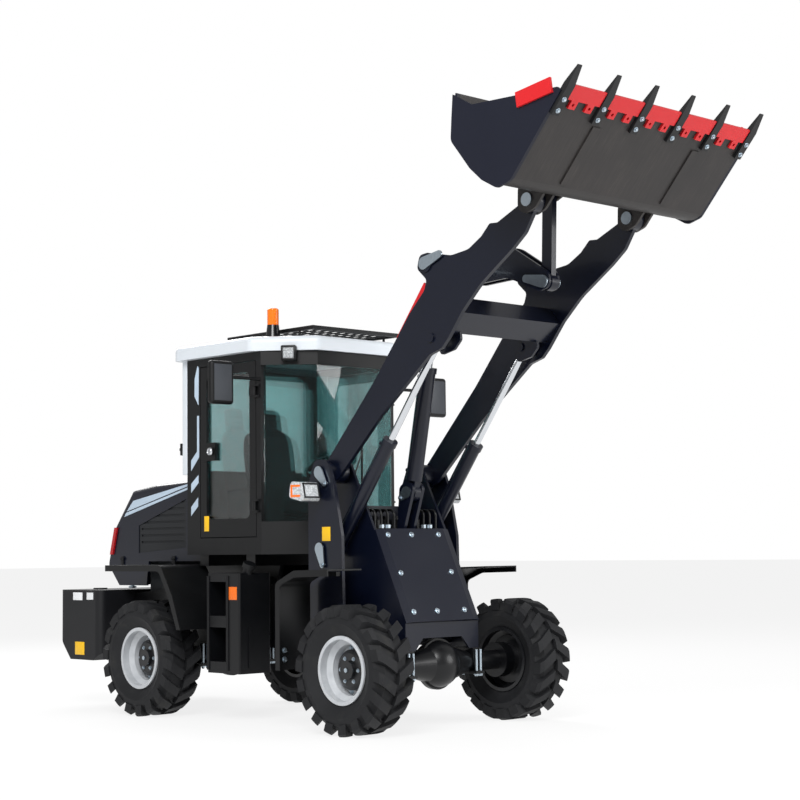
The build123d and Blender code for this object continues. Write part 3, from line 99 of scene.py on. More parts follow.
def enamelPaint(name, hexColor, dustColor, roughness, dust, coat):
    # sprayed enamel on steel: an orange-peel ripple of 4 mm, cloudy gloss, and road dust on what faces up
    material, tree, shader, place = newMaterial(name, {
        "Coat Weight": coat, "Coat Roughness": 0.08, "IOR": 1.5, "Specular IOR Level": 0.35})
    cloud = addNode(tree, "ShaderNodeTexNoise", {"Scale": 2.2, "Detail": 6.0, "Roughness": 0.6},
                    {"Vector": place})
    speck = addNode(tree, "ShaderNodeTexNoise", {"Scale": 90.0, "Detail": 3.0}, {"Vector": place})
    peel = addNode(tree, "ShaderNodeTexNoise", {"Scale": 250.0, "Detail": 1.0}, {"Vector": place})
    normal = addNode(tree, "ShaderNodeNewGeometry").outputs["Normal"]
    upward = addNode(tree, "ShaderNodeSeparateXYZ", links={"Vector": normal}).outputs["Z"]
    facing = addNode(tree, "ShaderNodeMapRange", {"From Min": -0.2, "From Max": 1.0, "To Max": dust},
                     {"Value": upward})
    grain = addNode(tree, "ShaderNodeMath", {"operation": "MULTIPLY"},
                    {0: cloud.outputs["Fac"], 1: speck.outputs["Fac"]})
    layer = addNode(tree, "ShaderNodeMath", {"operation": "MULTIPLY"},
                    {0: grain.outputs[0], 1: facing.outputs[0]})
    colour = addNode(tree, "ShaderNodeMix", {"data_type": "RGBA", 6: linear(hexColor), 7: linear(dustColor)},
                     {0: layer.outputs[0]})
    tree.links.new(colour.outputs[2], shader.inputs["Base Color"])
    sheen = addNode(tree, "ShaderNodeMapRange", {"To Min": roughness - 0.06, "To Max": roughness + 0.14},
                    {"Value": cloud.outputs["Fac"]})
    tree.links.new(sheen.outputs[0], shader.inputs["Roughness"])
    bump = addNode(tree, "ShaderNodeBump", {"Strength": 0.04, "Distance": 0.001},
                   {"Height": peel.outputs["Fac"]})
    tree.links.new(bump.outputs[0], shader.inputs["Normal"])
    return material


def mouldedPlastic(name, hexColor, roughness, grainSize):
    # injection-moulded plastic: a fine spark-eroded grain and slightly uneven gloss
    material, tree, shader, place = newMaterial(name, {"IOR": 1.46, "Specular IOR Level": 0.35})
    grain = addNode(tree, "ShaderNodeTexNoise", {"Scale": 1.0 / grainSize, "Detail": 2.0}, {"Vector": place})
    cloud = addNode(tree, "ShaderNodeTexNoise", {"Scale": 5.0, "Detail": 4.0}, {"Vector": place})
    base = linear(hexColor)
    pale = tuple(min(1.0, c * 1.3 + 0.002) for c in base[:3]) + (1.0,)
    colour = addNode(tree, "ShaderNodeMix", {"data_type": "RGBA", 6: base, 7: pale},
                     {0: cloud.outputs["Fac"]})
    tree.links.new(colour.outputs[2], shader.inputs["Base Color"])
    gloss = addNode(tree, "ShaderNodeMapRange", {"To Min": roughness - 0.08, "To Max": roughness + 0.1},
                    {"Value": cloud.outputs["Fac"]})
    tree.links.new(gloss.outputs[0], shader.inputs["Roughness"])
    bump = addNode(tree, "ShaderNodeBump", {"Strength": 0.15, "Distance": 0.0005},
                   {"Height": grain.outputs["Fac"]})
    tree.links.new(bump.outputs[0], shader.inputs["Normal"])
    return material


def metal(name, hexColor, roughness, streak, stretch):
    # bare or plated metal: fine streaks along one way of working
    material, tree, shader, place = newMaterial(name, {"Metallic": 1.0})
    turned = addNode(tree, "ShaderNodeMapping", {"Scale": stretch}, {"Vector": place})
    lines = addNode(tree, "ShaderNodeTexNoise", {"Scale": 60.0, "Detail": 4.0}, {"Vector": turned.outputs[0]})
    base = linear(hexColor)
    dark = tuple(c * (1 - streak) for c in base[:3]) + (1.0,)
    colour = addNode(tree, "ShaderNodeMix", {"data_type": "RGBA", 6: dark, 7: base},
                     {0: lines.outputs["Fac"]})
    tree.links.new(colour.outputs[2], shader.inputs["Base Color"])
    gloss = addNode(tree, "ShaderNodeMapRange", {"To Min": roughness * 0.6, "To Max": roughness * 1.4},
                    {"Value": lines.outputs["Fac"]})
    tree.links.new(gloss.outputs[0], shader.inputs["Roughness"])
    return material


def tyreRubber():
    # vulcanised rubber: charcoal, matt, with a dry bloom and pale dust in the tread
    material, tree, shader, place = newMaterial("tyreRubber", {"IOR": 1.52, "Specular IOR Level": 0.35})
    bloom = addNode(tree, "ShaderNodeTexNoise", {"Scale": 7.0, "Detail": 6.0, "Roughness": 0.65},
                    {"Vector": place})
    pore = addNode(tree, "ShaderNodeTexNoise", {"Scale": 320.0, "Detail": 2.0}, {"Vector": place})
    colour = addNode(tree, "ShaderNodeValToRGB", links={"Fac": bloom.outputs["Fac"]})
    rampStops(colour, [(0.3, linear("#0e0f12")), (0.55, linear("#16171a")), (0.75, linear("#272726"))])
    tree.links.new(colour.outputs[0], shader.inputs["Base Color"])
    gloss = addNode(tree, "ShaderNodeMapRange", {"To Min": 0.55, "To Max": 0.85},
                    {"Value": bloom.outputs["Fac"]})
    tree.links.new(gloss.outputs[0], shader.inputs["Roughness"])
    bump = addNode(tree, "ShaderNodeBump", {"Strength": 0.2, "Distance": 0.0008},
                   {"Height": pore.outputs["Fac"]})
    tree.links.new(bump.outputs[0], shader.inputs["Normal"])
    return material


def rimEnamel(node):
    # silver-sprayed rim with a black hub and a black inner side, told apart by the place on the wheel; the
    # inner side's black is partly black paint and partly painted shade
    low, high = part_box(node)
    outward = 1 if low[1] + high[1] > 0 else -1
    centre = [(a + b) / 2 for a, b in zip(low, high)]
    material, tree, shader, place = newMaterial("rimEnamel_" + node, {"IOR": 1.5})
    moved = addNode(tree, "ShaderNodeMapping", {"Location": [-c for c in centre]}, {"Vector": place})
    flat = addNode(tree, "ShaderNodeMapping", {"Scale": (1, 0, 1)}, {"Vector": moved.outputs[0]})
    radius = addNode(tree, "ShaderNodeVectorMath", {"operation": "LENGTH"}, {0: flat.outputs[0]})
    ring = addNode(tree, "ShaderNodeMapRange", {"From Min": 0.134, "From Max": 0.137},
                   {"Value": radius.outputs["Value"]})
    # the inner side of each rim is made black: partly its black paint, partly painted shade
    across = addNode(tree, "ShaderNodeSeparateXYZ", links={"Vector": moved.outputs[0]}).outputs["Y"]
    outer = addNode(tree, "ShaderNodeMapRange", {"From Min": -0.024 * outward, "From Max": -0.022 * outward},
                    {"Value": across})
    mask = addNode(tree, "ShaderNodeMath", {"operation": "MULTIPLY"},
                   {0: ring.outputs[0], 1: outer.outputs[0]})
    cloud = addNode(tree, "ShaderNodeTexNoise", {"Scale": 14.0, "Detail": 5.0}, {"Vector": place})
    silver = addNode(tree, "ShaderNodeMix", {"data_type": "RGBA", 6: linear("#a4a8ad"), 7: linear("#cdd0d3")},
                     {0: cloud.outputs["Fac"]})
    black = addNode(tree, "ShaderNodeMix", {"data_type": "RGBA", 6: linear("#0d0e10"), 7: linear("#1b1c1f")},
                    {0: cloud.outputs["Fac"]})
    colour = addNode(tree, "ShaderNodeMix", {"data_type": "RGBA"},
                     {0: mask.outputs[0], 6: black.outputs[2], 7: silver.outputs[2]})
    tree.links.new(colour.outputs[2], shader.inputs["Base Color"])
    gloss = addNode(tree, "ShaderNodeMapRange", {"To Min": 0.25, "To Max": 0.5},
                    {"Value": cloud.outputs["Fac"]})
    tree.links.new(gloss.outputs[0], shader.inputs["Roughness"])
    return material


def bucketSteel(sideStart):
    # worked plate, grey-brown and cloudy with fine scratches along the floor
    # the side plates keep their navy enamel
    material, tree, shader, place = newMaterial("bucketSteel", {"IOR": 1.5, "Specular IOR Level": 0.35})
    turned = addNode(tree, "ShaderNodeMapping", {"Scale": (3.0, 60.0, 3.0)}, {"Vector": place})
    scratch = addNode(tree, "ShaderNodeTexNoise", {"Scale": 2.0, "Detail": 8.0, "Roughness": 0.7},
                      {"Vector": turned.outputs[0]})
    cloud = addNode(tree, "ShaderNodeTexNoise", {"Scale": 3.0, "Detail": 6.0, "Roughness": 0.6},
                    {"Vector": place})
    mixed = addNode(tree, "ShaderNodeMath", {"operation": "MULTIPLY"},
                    {0: scratch.outputs["Fac"], 1: cloud.outputs["Fac"]})
    worn = addNode(tree, "ShaderNodeValToRGB", links={"Fac": mixed.outputs[0]})
    rampStops(worn, [(0.1, linear("#211f1f")), (0.3, linear("#2f2c2b")), (0.5, linear("#433d3a"))])
    across = addNode(tree, "ShaderNodeSeparateXYZ", links={"Vector": place}).outputs["Y"]
    outward = addNode(tree, "ShaderNodeMath", {"operation": "ABSOLUTE"}, {0: across})
    side = addNode(tree, "ShaderNodeMath", {"operation": "GREATER_THAN", 1: sideStart},
                   {0: outward.outputs[0]})
    colour = addNode(tree, "ShaderNodeMix", {"data_type": "RGBA", 7: linear("#0c1020")},
                     {0: side.outputs[0], 6: worn.outputs[0]})
    tree.links.new(colour.outputs[2], shader.inputs["Base Color"])
    gloss = addNode(tree, "ShaderNodeMapRange", {"To Min": 0.38, "To Max": 0.62},
                    {"Value": cloud.outputs["Fac"]})
    tree.links.new(gloss.outputs[0], shader.inputs["Roughness"])
    return material


def headLampPlastic(stalkEnd):
    # clear polycarbonate over a silvered reflector with moulded cells of 14 mm; the stalk is black
    material, tree, shader, place = newMaterial("headLampPolycarbonate", {"IOR": 1.58, "Roughness": 0.12})
    cells = addNode(tree, "ShaderNodeTexVoronoi", {"Scale": 70.0}, {"Vector": place})
    silver = addNode(tree, "ShaderNodeMix", {"data_type": "RGBA", 6: linear("#dfe2e4"), 7: linear("#8d9296")},
                     {0: cells.outputs["Distance"]})
    across = addNode(tree, "ShaderNodeSeparateXYZ", links={"Vector": place}).outputs["Y"]
    outward = addNode(tree, "ShaderNodeMath", {"operation": "ABSOLUTE"}, {0: across})
    lamp = addNode(tree, "ShaderNodeMath", {"operation": "GREATER_THAN", 1: stalkEnd},
                   {0: outward.outputs[0]})
    colour = addNode(tree, "ShaderNodeMix", {"data_type": "RGBA", 6: linear("#0b0c0e")},
                     {0: lamp.outputs[0], 7: silver.outputs[2]})
    tree.links.new(colour.outputs[2], shader.inputs["Base Color"])
    bump = addNode(tree, "ShaderNodeBump", {"Strength": 0.15, "Distance": 0.001},
                   {"Height": cells.outputs["Distance"]})
    tree.links.new(bump.outputs[0], shader.inputs["Normal"])
    return material


def beaconPlastic(domeBase):
    # amber acrylic dome with moulded ribs 6 mm apart, on a foot of black moulded plastic
    material, tree, shader, place = newMaterial("beaconAcrylic", {"IOR": 1.49, "Roughness": 0.14})
    ribs = addNode(tree, "ShaderNodeTexWave", {"Scale": 50.0, "Distortion": 0.2, "bands_direction": "Z"},
                   {"Vector": place})
    amber = addNode(tree, "ShaderNodeMix", {"data_type": "RGBA", 6: linear("#e85a06"), 7: linear("#ff8a1e")},
                    {0: ribs.outputs["Fac"]})
    height = addNode(tree, "ShaderNodeSeparateXYZ", links={"Vector": place}).outputs["Z"]
    dome = addNode(tree, "ShaderNodeMath", {"operation": "GREATER_THAN", 1: domeBase}, {0: height})
    colour = addNode(tree, "ShaderNodeMix", {"data_type": "RGBA", 6: linear("#121315")},
                     {0: dome.outputs[0], 7: amber.outputs[2]})
    tree.links.new(colour.outputs[2], shader.inputs["Base Color"])
    return material


def tintedGlass():
    # blue-green float glass of a cab: clear to look through, sharp reflections, faint dust
    material, tree, shader, place = newMaterial("tintedGlass", {
        "Base Color": linear("#3f8586"), "Transmission Weight": 1.0, "IOR": 1.45, "Alpha": 0.5})
    dust = addNode(tree, "ShaderNodeTexNoise", {"Scale": 3.0, "Detail": 5.0}, {"Vector": place})
    gloss = addNode(tree, "ShaderNodeMapRange", {"To Min": 0.0, "To Max": 0.02},
                    {"Value": dust.outputs["Fac"]})
    tree.links.new(gloss.outputs[0], shader.inputs["Roughness"])
    return material


def lensPlastic(name, hexColor, transmission, paintedGlow):
    # clear or dyed acrylic lens with moulded ribs 6 mm apart; the emission strength makes the lens glow
    # faintly, a painted glow
    material, tree, shader, place = newMaterial(name, {
        "Transmission Weight": transmission, "IOR": 1.49, "Roughness": 0.08,
        "Emission Color": linear(hexColor), "Emission Strength": paintedGlow})
    ribs = addNode(tree, "ShaderNodeTexWave", {"Scale": 50.0, "Distortion": 0.2, "bands_direction": "Z"},
                   {"Vector": place})
    base = linear(hexColor)
    deep = tuple(c * 0.75 for c in base[:3]) + (1.0,)
    colour = addNode(tree, "ShaderNodeMix", {"data_type": "RGBA", 6: deep, 7: base}, {0: ribs.outputs["Fac"]})
    tree.links.new(colour.outputs[2], shader.inputs["Base Color"])
    bump = addNode(tree, "ShaderNodeBump", {"Strength": 0.25, "Distance": 0.001},
                   {"Height": ribs.outputs["Fac"]})
    tree.links.new(bump.outputs[0], shader.inputs["Normal"])
    return material


navy = enamelPaint("navyEnamel", "#080d1d", "#4a4a4c", 0.28, 0.07, 0.15)
frameBlack = enamelPaint("chassisEnamel", "#08090c", "#4a4845", 0.3, 0.12, 0.1)
castNavy = enamelPaint("castIronEnamel", "#101115", "#55514c", 0.5, 0.15, 0.0)
redEnamel = enamelPaint("redEnamel", "#c3151c", "#8a7a70", 0.35, 0.15, 0.2)
whiteGel = enamelPaint("whiteGelcoat", "#d3d9df", "#b3b3b0", 0.3, 0.2, 0.2)
toothBlack = enamelPaint("forgedToothEnamel", "#121315", "#6b675f", 0.42, 0.3, 0.05)
cabBlack = mouldedPlastic("cabTrimPlastic", "#08090b", 0.45, 0.0015)
lampBlack = mouldedPlastic("lampHousingPlastic", "#0b0c0e", 0.35, 0.0015)
shellGrey = mouldedPlastic("mirrorShellPlastic", "#3a3d42", 0.45, 0.0015)
silverFilm = mouldedPlastic("silverVinylFilm", "#a9b9c8", 0.32, 0.004)
yellowFilm = mouldedPlastic("yellowVinylFilm", "#e3b21c", 0.4, 0.004)
orangeFilm = mouldedPlastic("orangeVinylFilm", "#e06a1c", 0.4, 0.004)
whiteFilm = mouldedPlastic("whiteVinylFilm", "#d9dbdd", 0.4, 0.004)
ventGrey = mouldedPlastic("ventPlastic", "#1b1d20", 0.55, 0.0015)
tankBlack = mouldedPlastic("tankPolyethylene", "#08090c", 0.38, 0.002)
seatVinyl = mouldedPlastic("seatVinyl", "#1c1d20", 0.6, 0.003)
engineGrey = mouldedPlastic("engineCasting", "#3a3d40", 0.6, 0.004)
chrome = metal("hardChrome", "#dcdfe3", 0.12, 0.08, (1, 1, 1))
zinc = metal("zincPlate", "#c3d0da", 0.35, 0.2, (1, 1, 1))
rubber = tyreRubber()
mirrorGlass = metal("silveredGlass", "#cfd6da", 0.04, 0.02, (1, 1, 1))
floorSteel = bucketSteel(0.9)
lampGlass = headLampPlastic(0.604)
amberDome = beaconPlastic(2.8)
glass = tintedGlass()
# the amber and red lenses get a faint painted glow through their emission strength
amberLens = lensPlastic("amberAcrylic", "#ff7a12", 0.3, 0.25)
redLens = lensPlastic("redAcrylic", "#c01018", 0.2, 0.05)
clearLens = lensPlastic("clearAcrylic", "#dfe3e6", 0.4, 0.0)
print("materials made")

nodeFinish = {
    "rear_frame": frameBlack, "rear_axle": frameBlack, "engine_block": engineGrey, "counterweight": castNavy,
    "rear_fenders": cabBlack, "step_tanks": tankBlack, "cab_floor": cabBlack, "cab_rear_wall": cabBlack,
    "cab_sides": cabBlack, "cab_front_frame": cabBlack, "cab_glass": glass, "cab_roof": whiteGel,
    "roof_rack": cabBlack, "seat": seatVinyl, "controls": cabBlack, "beacon": amberDome,
    "work_lights": lampBlack, "mirrors": cabBlack, "hood": navy, "hood_vents": ventGrey,
    "tail_lights": redLens, "front_frame": navy, "tower_cover": navy, "front_axle": frameBlack,
    "front_fenders": cabBlack, "headlights": lampGlass, "hydraulic_lines": frameBlack, "boom": navy,
    "safety_strut": redEnamel, "bucket_pins": zinc,
    "bucket": floorSteel, "bucket_teeth": toothBlack, "cutting_edges": redEnamel, "bellcrank_pin": zinc,
    "bellcrank": navy, "link_pin": zinc, "tilt_link": navy, "lift_barrels": navy, "lift_rods": chrome,
    "tilt_barrel": navy, "tilt_rod": chrome, "steer_barrel_left": navy, "steer_barrel_right": navy,
    "steer_rod_left": chrome, "steer_rod_right": chrome, "door_left": cabBlack, "door_right": cabBlack,
    "door_glass_left": glass, "door_glass_right": glass,
}
for name, node in frame["nodes"].items():
    if name.startswith("tyre_"):
        finish = rubber
    elif name.startswith("rim_"):
        finish = rimEnamel(name)
    else:
        finish = nodeFinish[name]
    node.data.materials.clear()
    node.data.materials.append(finish)
print("CAD nodes finished")


def toward(direction):
    return Vector(direction).to_track_quat("Z", "Y").to_matrix().to_4x4()


def addBox(mesh, centre, size, turn=None, soften=0.0, segments=2):
    matrix = Matrix.Translation(centre) @ (turn or Matrix.Identity(4)) @ Matrix.Diagonal((*size, 1))
    made = bmesh.ops.create_cube(mesh, size=1.0, matrix=matrix)
    if soften:
        edges = list({edge for vert in made["verts"] for edge in vert.link_edges})
        bmesh.ops.bevel(mesh, geom=edges, offset=soften, segments=segments, profile=0.5, affect="EDGES",
                        material=-1)


def addRod(mesh, start, end, radius, segments=20, tip=None):
    run = end - start
    matrix = Matrix.Translation((start + end) / 2) @ toward(run)
    bmesh.ops.create_cone(mesh, cap_ends=True, segments=segments, radius1=radius,
                          radius2=radius if tip is None else tip, depth=run.length, matrix=matrix)


def addRing(mesh, centre, axis, radius, thickness, steps=48):
    ring = bmesh.new()
    bmesh.ops.create_circle(ring, segments=10, radius=thickness,
                            matrix=Matrix.Translation((radius, 0, 0)) @ Matrix.Rotation(math.pi / 2, 4, "X"))
    bmesh.ops.spin(ring, geom=ring.verts[:] + ring.edges[:], cent=(0, 0, 0), axis=(0, 0, 1),
                   angle=2 * math.pi, steps=steps, use_merge=True)
    bmesh.ops.remove_doubles(ring, verts=ring.verts, dist=1e-5)
    bmesh.ops.recalc_face_normals(ring, faces=ring.faces)
    ring.transform(Matrix.Translation(centre) @ toward(axis))
    asMesh = bpy.data.meshes.new("ring")
    ring.to_mesh(asMesh)
    ring.free()
    mesh.from_mesh(asMesh)
    bpy.data.meshes.remove(asMesh)


def stamp(mesh, template, place, facing):
    copy = template.copy()
    copy.transform(Matrix.Translation(place) @ toward(facing))
    mesh.from_mesh(copy)
    bpy.data.meshes.remove(copy)


def hexBolt(radius):
    # washer, bevelled six-sided head and the bolt's end
    mesh = bmesh.new()
    bmesh.ops.create_cone(mesh, cap_ends=True, segments=24, radius1=radius * 1.45, radius2=radius * 1.4,
                          depth=radius * 0.3, matrix=Matrix.Translation((0, 0, radius * 0.15)))
    head = bmesh.ops.create_cone(mesh, cap_ends=True, segments=6, radius1=radius, radius2=radius,
                                 depth=radius * 0.8, matrix=Matrix.Translation((0, 0, radius * 0.65)))
    rim = [edge for edge in {e for v in head["verts"] for e in v.link_edges}
           if all(vert.co.z > radius * 0.9 for vert in edge.verts)]
    bmesh.ops.bevel(mesh, geom=rim, offset=radius * 0.12, segments=2, profile=0.5, affect="EDGES",
                    material=-1)
    bmesh.ops.create_cone(mesh, cap_ends=True, segments=16, radius1=radius * 0.5, radius2=radius * 0.42,
                          depth=radius * 0.25, matrix=Matrix.Translation((0, 0, radius * 1.15)))
    data = bpy.data.meshes.new("hexBolt")
    mesh.to_mesh(data)
    mesh.free()
    return data


def addPiece(mesh, name, finish, body):
    bmesh.ops.recalc_face_normals(mesh, faces=mesh.faces)
    data = bpy.data.meshes.new(name)
    mesh.to_mesh(data)
    mesh.free()
    data.materials.append(finish)
    data.shade_smooth()
    data.set_sharp_from_angle(angle=math.radians(35))
    piece = bpy.data.objects.new(name, data)
    bpy.context.scene.collection.objects.link(piece)
    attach(piece, body)
    return piece


# operator's seat: crowned pads with sewn channels on a bellows pedestal
# each pad: name, size, shift along X and rise from the seat's foot, recline, fill, upright
seatSizes = {"x": -0.46, "floor": 1.215, "roundness": 5.0, "cuts": 19, "channel": 0.007,
             "channelPlaces": (-0.62, -0.2, 0.2, 0.62), "channelWidth": 0.05, "folds": 5, "bellowsFoot": 0.03,
             "bellowsSize": (0.3, 0.36, 0.2), "plates": ((0.016, 0.03), (0.238, 0.024)),
             "plateSize": (0.32, 0.38),
             "pads": (("seatCushion", (0.46, 0.48, 0.13), 0.01, 0.305, 0.0, 0.75, False),
                      ("seatBackrest", (0.11, 0.44, 0.56), -0.18, 0.6, -8.0, 0.75, True),
                      ("seatHeadrest", (0.08, 0.26, 0.2), -0.23, 0.94, -8.0, 0.85, True)),
             "postSide": 0.06, "postFoot": (-0.216, 0.82), "postTop": (-0.228, 0.9), "postRadius": 0.007}


def padPiece(name, size, centre, recline, upright):
    mesh = bmesh.new()
    bmesh.ops.create_cube(mesh, size=2.0)
    bmesh.ops.subdivide_edges(mesh, edges=mesh.edges, cuts=seatSizes["cuts"], use_grid_fill=True)
    power = seatSizes["roundness"]
    for vert in mesh.verts:
        spread = sum(abs(c) ** power for c in vert.co) ** (1 / power)
        vert.co /= spread
        along = vert.co.z if upright else vert.co.x
        face = vert.co.x if upright else vert.co.z
        groove = max(math.exp(-((along - p) / seatSizes["channelWidth"]) ** 2)
                     for p in seatSizes["channelPlaces"])
        pull = seatSizes["channel"] * groove * max(face, 0.0) * (1 - abs(vert.co.y) ** 8)
        vert.co.x, vert.co.y, vert.co.z = (c * s / 2 for c, s in zip(vert.co, size))
        if upright:
            vert.co.x -= pull
        else:
            vert.co.z -= pull
    mesh.transform(Matrix.Translation(centre) @ Matrix.Rotation(math.radians(recline), 4, "Y"))
    pad = addPiece(mesh, name, seatVinyl, "rear_frame")
    smooth = pad.modifiers.new("smooth", "SUBSURF")
    smooth.levels = 1
    smooth.render_levels = 1
    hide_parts("seat")


seatX, seatFloor = seatSizes["x"], seatSizes["floor"]
for name, size, shift, rise, recline, fill, upright in seatSizes["pads"]:
    padPiece(name, size, at(seatX + shift, 0, seatFloor + rise), recline, upright)
pedestal = bmesh.new()
length, width, height = seatSizes["bellowsSize"]
foldHeight = height / seatSizes["folds"]
for fold in range(seatSizes["folds"]):
    low = seatFloor + seatSizes["bellowsFoot"] + fold * foldHeight
    addBox(pedestal, at(seatX, 0, low + foldHeight / 2), (length, width, foldHeight), soften=0.016, segments=3)
for rise, thickness in seatSizes["plates"]:
    addBox(pedestal, at(seatX, 0, seatFloor + rise), (*seatSizes["plateSize"], thickness), soften=0.006)
for side in (-seatSizes["postSide"], seatSizes["postSide"]):
    foot, top = (at(seatX + shift, side, seatFloor + rise)
                 for shift, rise in (seatSizes["postFoot"], seatSizes["postTop"]))
    addRod(pedestal, foot, top, seatSizes["postRadius"])
bellows = addPiece(pedestal, "seatPedestal", rubber, "rear_frame")
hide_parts("seat")
print("seat padded")

# bolts of the tower's cover, the front fenders, the teeth, the hubs and the axles' straps
coverBolts = {"top": (0.884, 1.326), "foot": (1.178, 0.703), "stand": 0.0242, "radius": 0.014,
              "fenderX": 0.51, "fenderY": 0.83, "fenderHeights": (0.47, 0.53),
              "rows": ((0.048, (-0.26, -0.04, 0.22)), (0.332, (-0.26, 0.22)), (0.617, (-0.26, -0.04, 0.22)))}
coverTop = at(coverBolts["top"][0], 0, coverBolts["top"][1])
coverRun = at(coverBolts["foot"][0], 0, coverBolts["foot"][1]) - coverTop
coverRun.normalize()
coverOut = Vector((-coverRun.z, 0, coverRun.x))
boltMesh = hexBolt(coverBolts["radius"])
bolts = bmesh.new()
for along, places in coverBolts["rows"]:
    for y in places:
        spot = coverTop + coverRun * along + coverOut * coverBolts["stand"] + Vector((0, y, 0))
        stamp(bolts, boltMesh, spot, coverOut)
for side in (-1, 1):
    for z in coverBolts["fenderHeights"]:
        stamp(bolts, boltMesh, at(coverBolts["fenderX"], side * coverBolts["fenderY"], z), (1, 0, 0))
addPiece(bolts, "coverBolts", zinc, "front_frame")

bucketFrame = {"origin": (2.610015, 3.224368), "angle": 48.6, "toothPitch": 0.3544, "teeth": 6,
               "underside": -0.0242, "boltPlaces": (0.668, 0.742), "radius": 0.0115}
slope = math.radians(bucketFrame["angle"])
floorAlong = Vector((math.cos(slope), 0, math.sin(slope)))
floorAbove = Vector((-math.sin(slope), 0, math.cos(slope)))


def onFloor(a, y, b):
    return at(bucketFrame["origin"][0], y, bucketFrame["origin"][1]) + floorAlong * a + floorAbove * b


toothBolt = hexBolt(bucketFrame["radius"])
bolts = bmesh.new()
for tooth in range(bucketFrame["teeth"]):
    y = (tooth - (bucketFrame["teeth"] - 1) / 2) * bucketFrame["toothPitch"]
    for a in bucketFrame["boltPlaces"]:
        stamp(bolts, toothBolt, onFloor(a, y, bucketFrame["underside"]), -floorAbove)
addPiece(bolts, "toothBolts", zinc, "bucket")

wheelBolts = {"axleX": 1.115, "halfTrack": 0.75, "axleZ": 0.421, "nutCircle": 0.148, "nutFace": -0.022,
              "nuts": 10, "nutRadius": 0.0125, "hubCircle": 0.083, "hubFace": 0.0402, "hubBolts": 6,
              "hubRadius": 0.0095, "capFace": 0.0662, "capHeight": 0.008, "capRadius": 0.016}
wheelNut = hexBolt(wheelBolts["nutRadius"])
hubBolt = hexBolt(wheelBolts["hubRadius"])
for end, x in (("front", wheelBolts["axleX"]), ("rear", -wheelBolts["axleX"])):
    for name, side in (("left", 1), ("right", -1)):
        middle = at(x, side * wheelBolts["halfTrack"], wheelBolts["axleZ"])
        outward = Vector((0, side, 0))
        bolts = bmesh.new()
        for template, count, circle, face in (
                (wheelNut, wheelBolts["nuts"], wheelBolts["nutCircle"], wheelBolts["nutFace"]),
                (hubBolt, wheelBolts["hubBolts"], wheelBolts["hubCircle"], wheelBolts["hubFace"])):
            for step in range(count):
                turn = 2 * math.pi * step / count
                spot = Vector((math.cos(turn), 0, math.sin(turn))) * circle
                stamp(bolts, template, middle + spot + outward * face, outward)
        cap = middle + outward * wheelBolts["capFace"]
        addRod(bolts, cap, cap + outward * wheelBolts["capHeight"], wheelBolts["capRadius"], segments=6)
        addPiece(bolts, "wheelNuts_" + end + "_" + name, zinc, "wheel_" + end + "_" + name)

strapNuts = {"axleX": 1.115, "reach": 0.085, "sides": (0.3, 0.34), "z": 0.341, "radius": 0.014,
             "legFoot": 0.362, "legTop": 0.507, "legRadius": 0.0105}
strapNut = hexBolt(strapNuts["radius"])
strapEnds = (("front", strapNuts["axleX"], "front_frame"), ("rear", -strapNuts["axleX"], "rear_frame"))
strapSides = strapNuts["sides"] + tuple(-y for y in strapNuts["sides"])
for end, x, body in strapEnds:
    nuts = bmesh.new()
    for dx in (-strapNuts["reach"], strapNuts["reach"]):
        for y in strapSides:
            stamp(nuts, strapNut, at(x + dx, y, strapNuts["z"]), (0, 0, -1))
    addPiece(nuts, "strapNuts_" + end, zinc, body)
print("bolts placed")

# bright legs of the axles' straps
for end, x, body in strapEnds:
    legs = bmesh.new()
    for dx in (-strapNuts["reach"], strapNuts["reach"]):
        for y in strapSides:
            addRod(legs, at(x + dx, y, strapNuts["legFoot"]), at(x + dx, y, strapNuts["legTop"]),
                   strapNuts["legRadius"], segments=16)
    addPiece(legs, "strapLegs_" + end, zinc, body)

# teardrop keeper plates that lock the pins in the tower, each with its bolt
keepers = {"thickness": 0.008, "pinRadius": 0.042, "tipRadius": 0.02, "boltRadius": 0.011,
           "outerStand": 0.5, "spacer": 0.0125, "spacerRadius": 0.013,
           "places": ((0.577, 1.724, 0.5722, 0.062, -0.078), (0.580, 1.204, 0.5722, 0.03, -0.11),
                      (0.900, 1.584, 0.0572, -0.055, -0.035))}
keeperBolt = hexBolt(keepers["boltRadius"])
plates = bmesh.new()
for x, z, stand, reachX, reachZ in keepers["places"]:
    for side in (-1, 1):
        plate = bmesh.new()
        for dx, dz, radius in ((0, 0, keepers["pinRadius"]), (reachX, reachZ, keepers["tipRadius"])):
            foot = at(x + dx, side * stand, z + dz)
            addRod(plate, foot, foot + Vector((0, side * keepers["thickness"], 0)), radius, segments=28)
        hull = bmesh.ops.convex_hull(plate, input=plate.verts)
        inside = [part for part in hull["geom_interior"] if isinstance(part, bmesh.types.BMVert)]
        bmesh.ops.delete(plate, geom=inside, context="VERTS")
        tipEnd = at(x + reachX, side * (stand + keepers["thickness"]), z + reachZ)
        stamp(plate, keeperBolt, tipEnd, (0, side, 0))
        if stand > keepers["outerStand"]:
            tipFoot = at(x + reachX, side * stand, z + reachZ)
            spacer = Vector((0, side * keepers["spacer"], 0))
            addRod(plate, tipFoot - spacer, tipFoot, keepers["spacerRadius"])
        asMesh = bpy.data.meshes.new("keeper")
        plate.to_mesh(asMesh)
        plate.free()
        plates.from_mesh(asMesh)
        bpy.data.meshes.remove(asMesh)
addPiece(plates, "pinKeepers", zinc, "front_frame")
print("keeper plates placed")

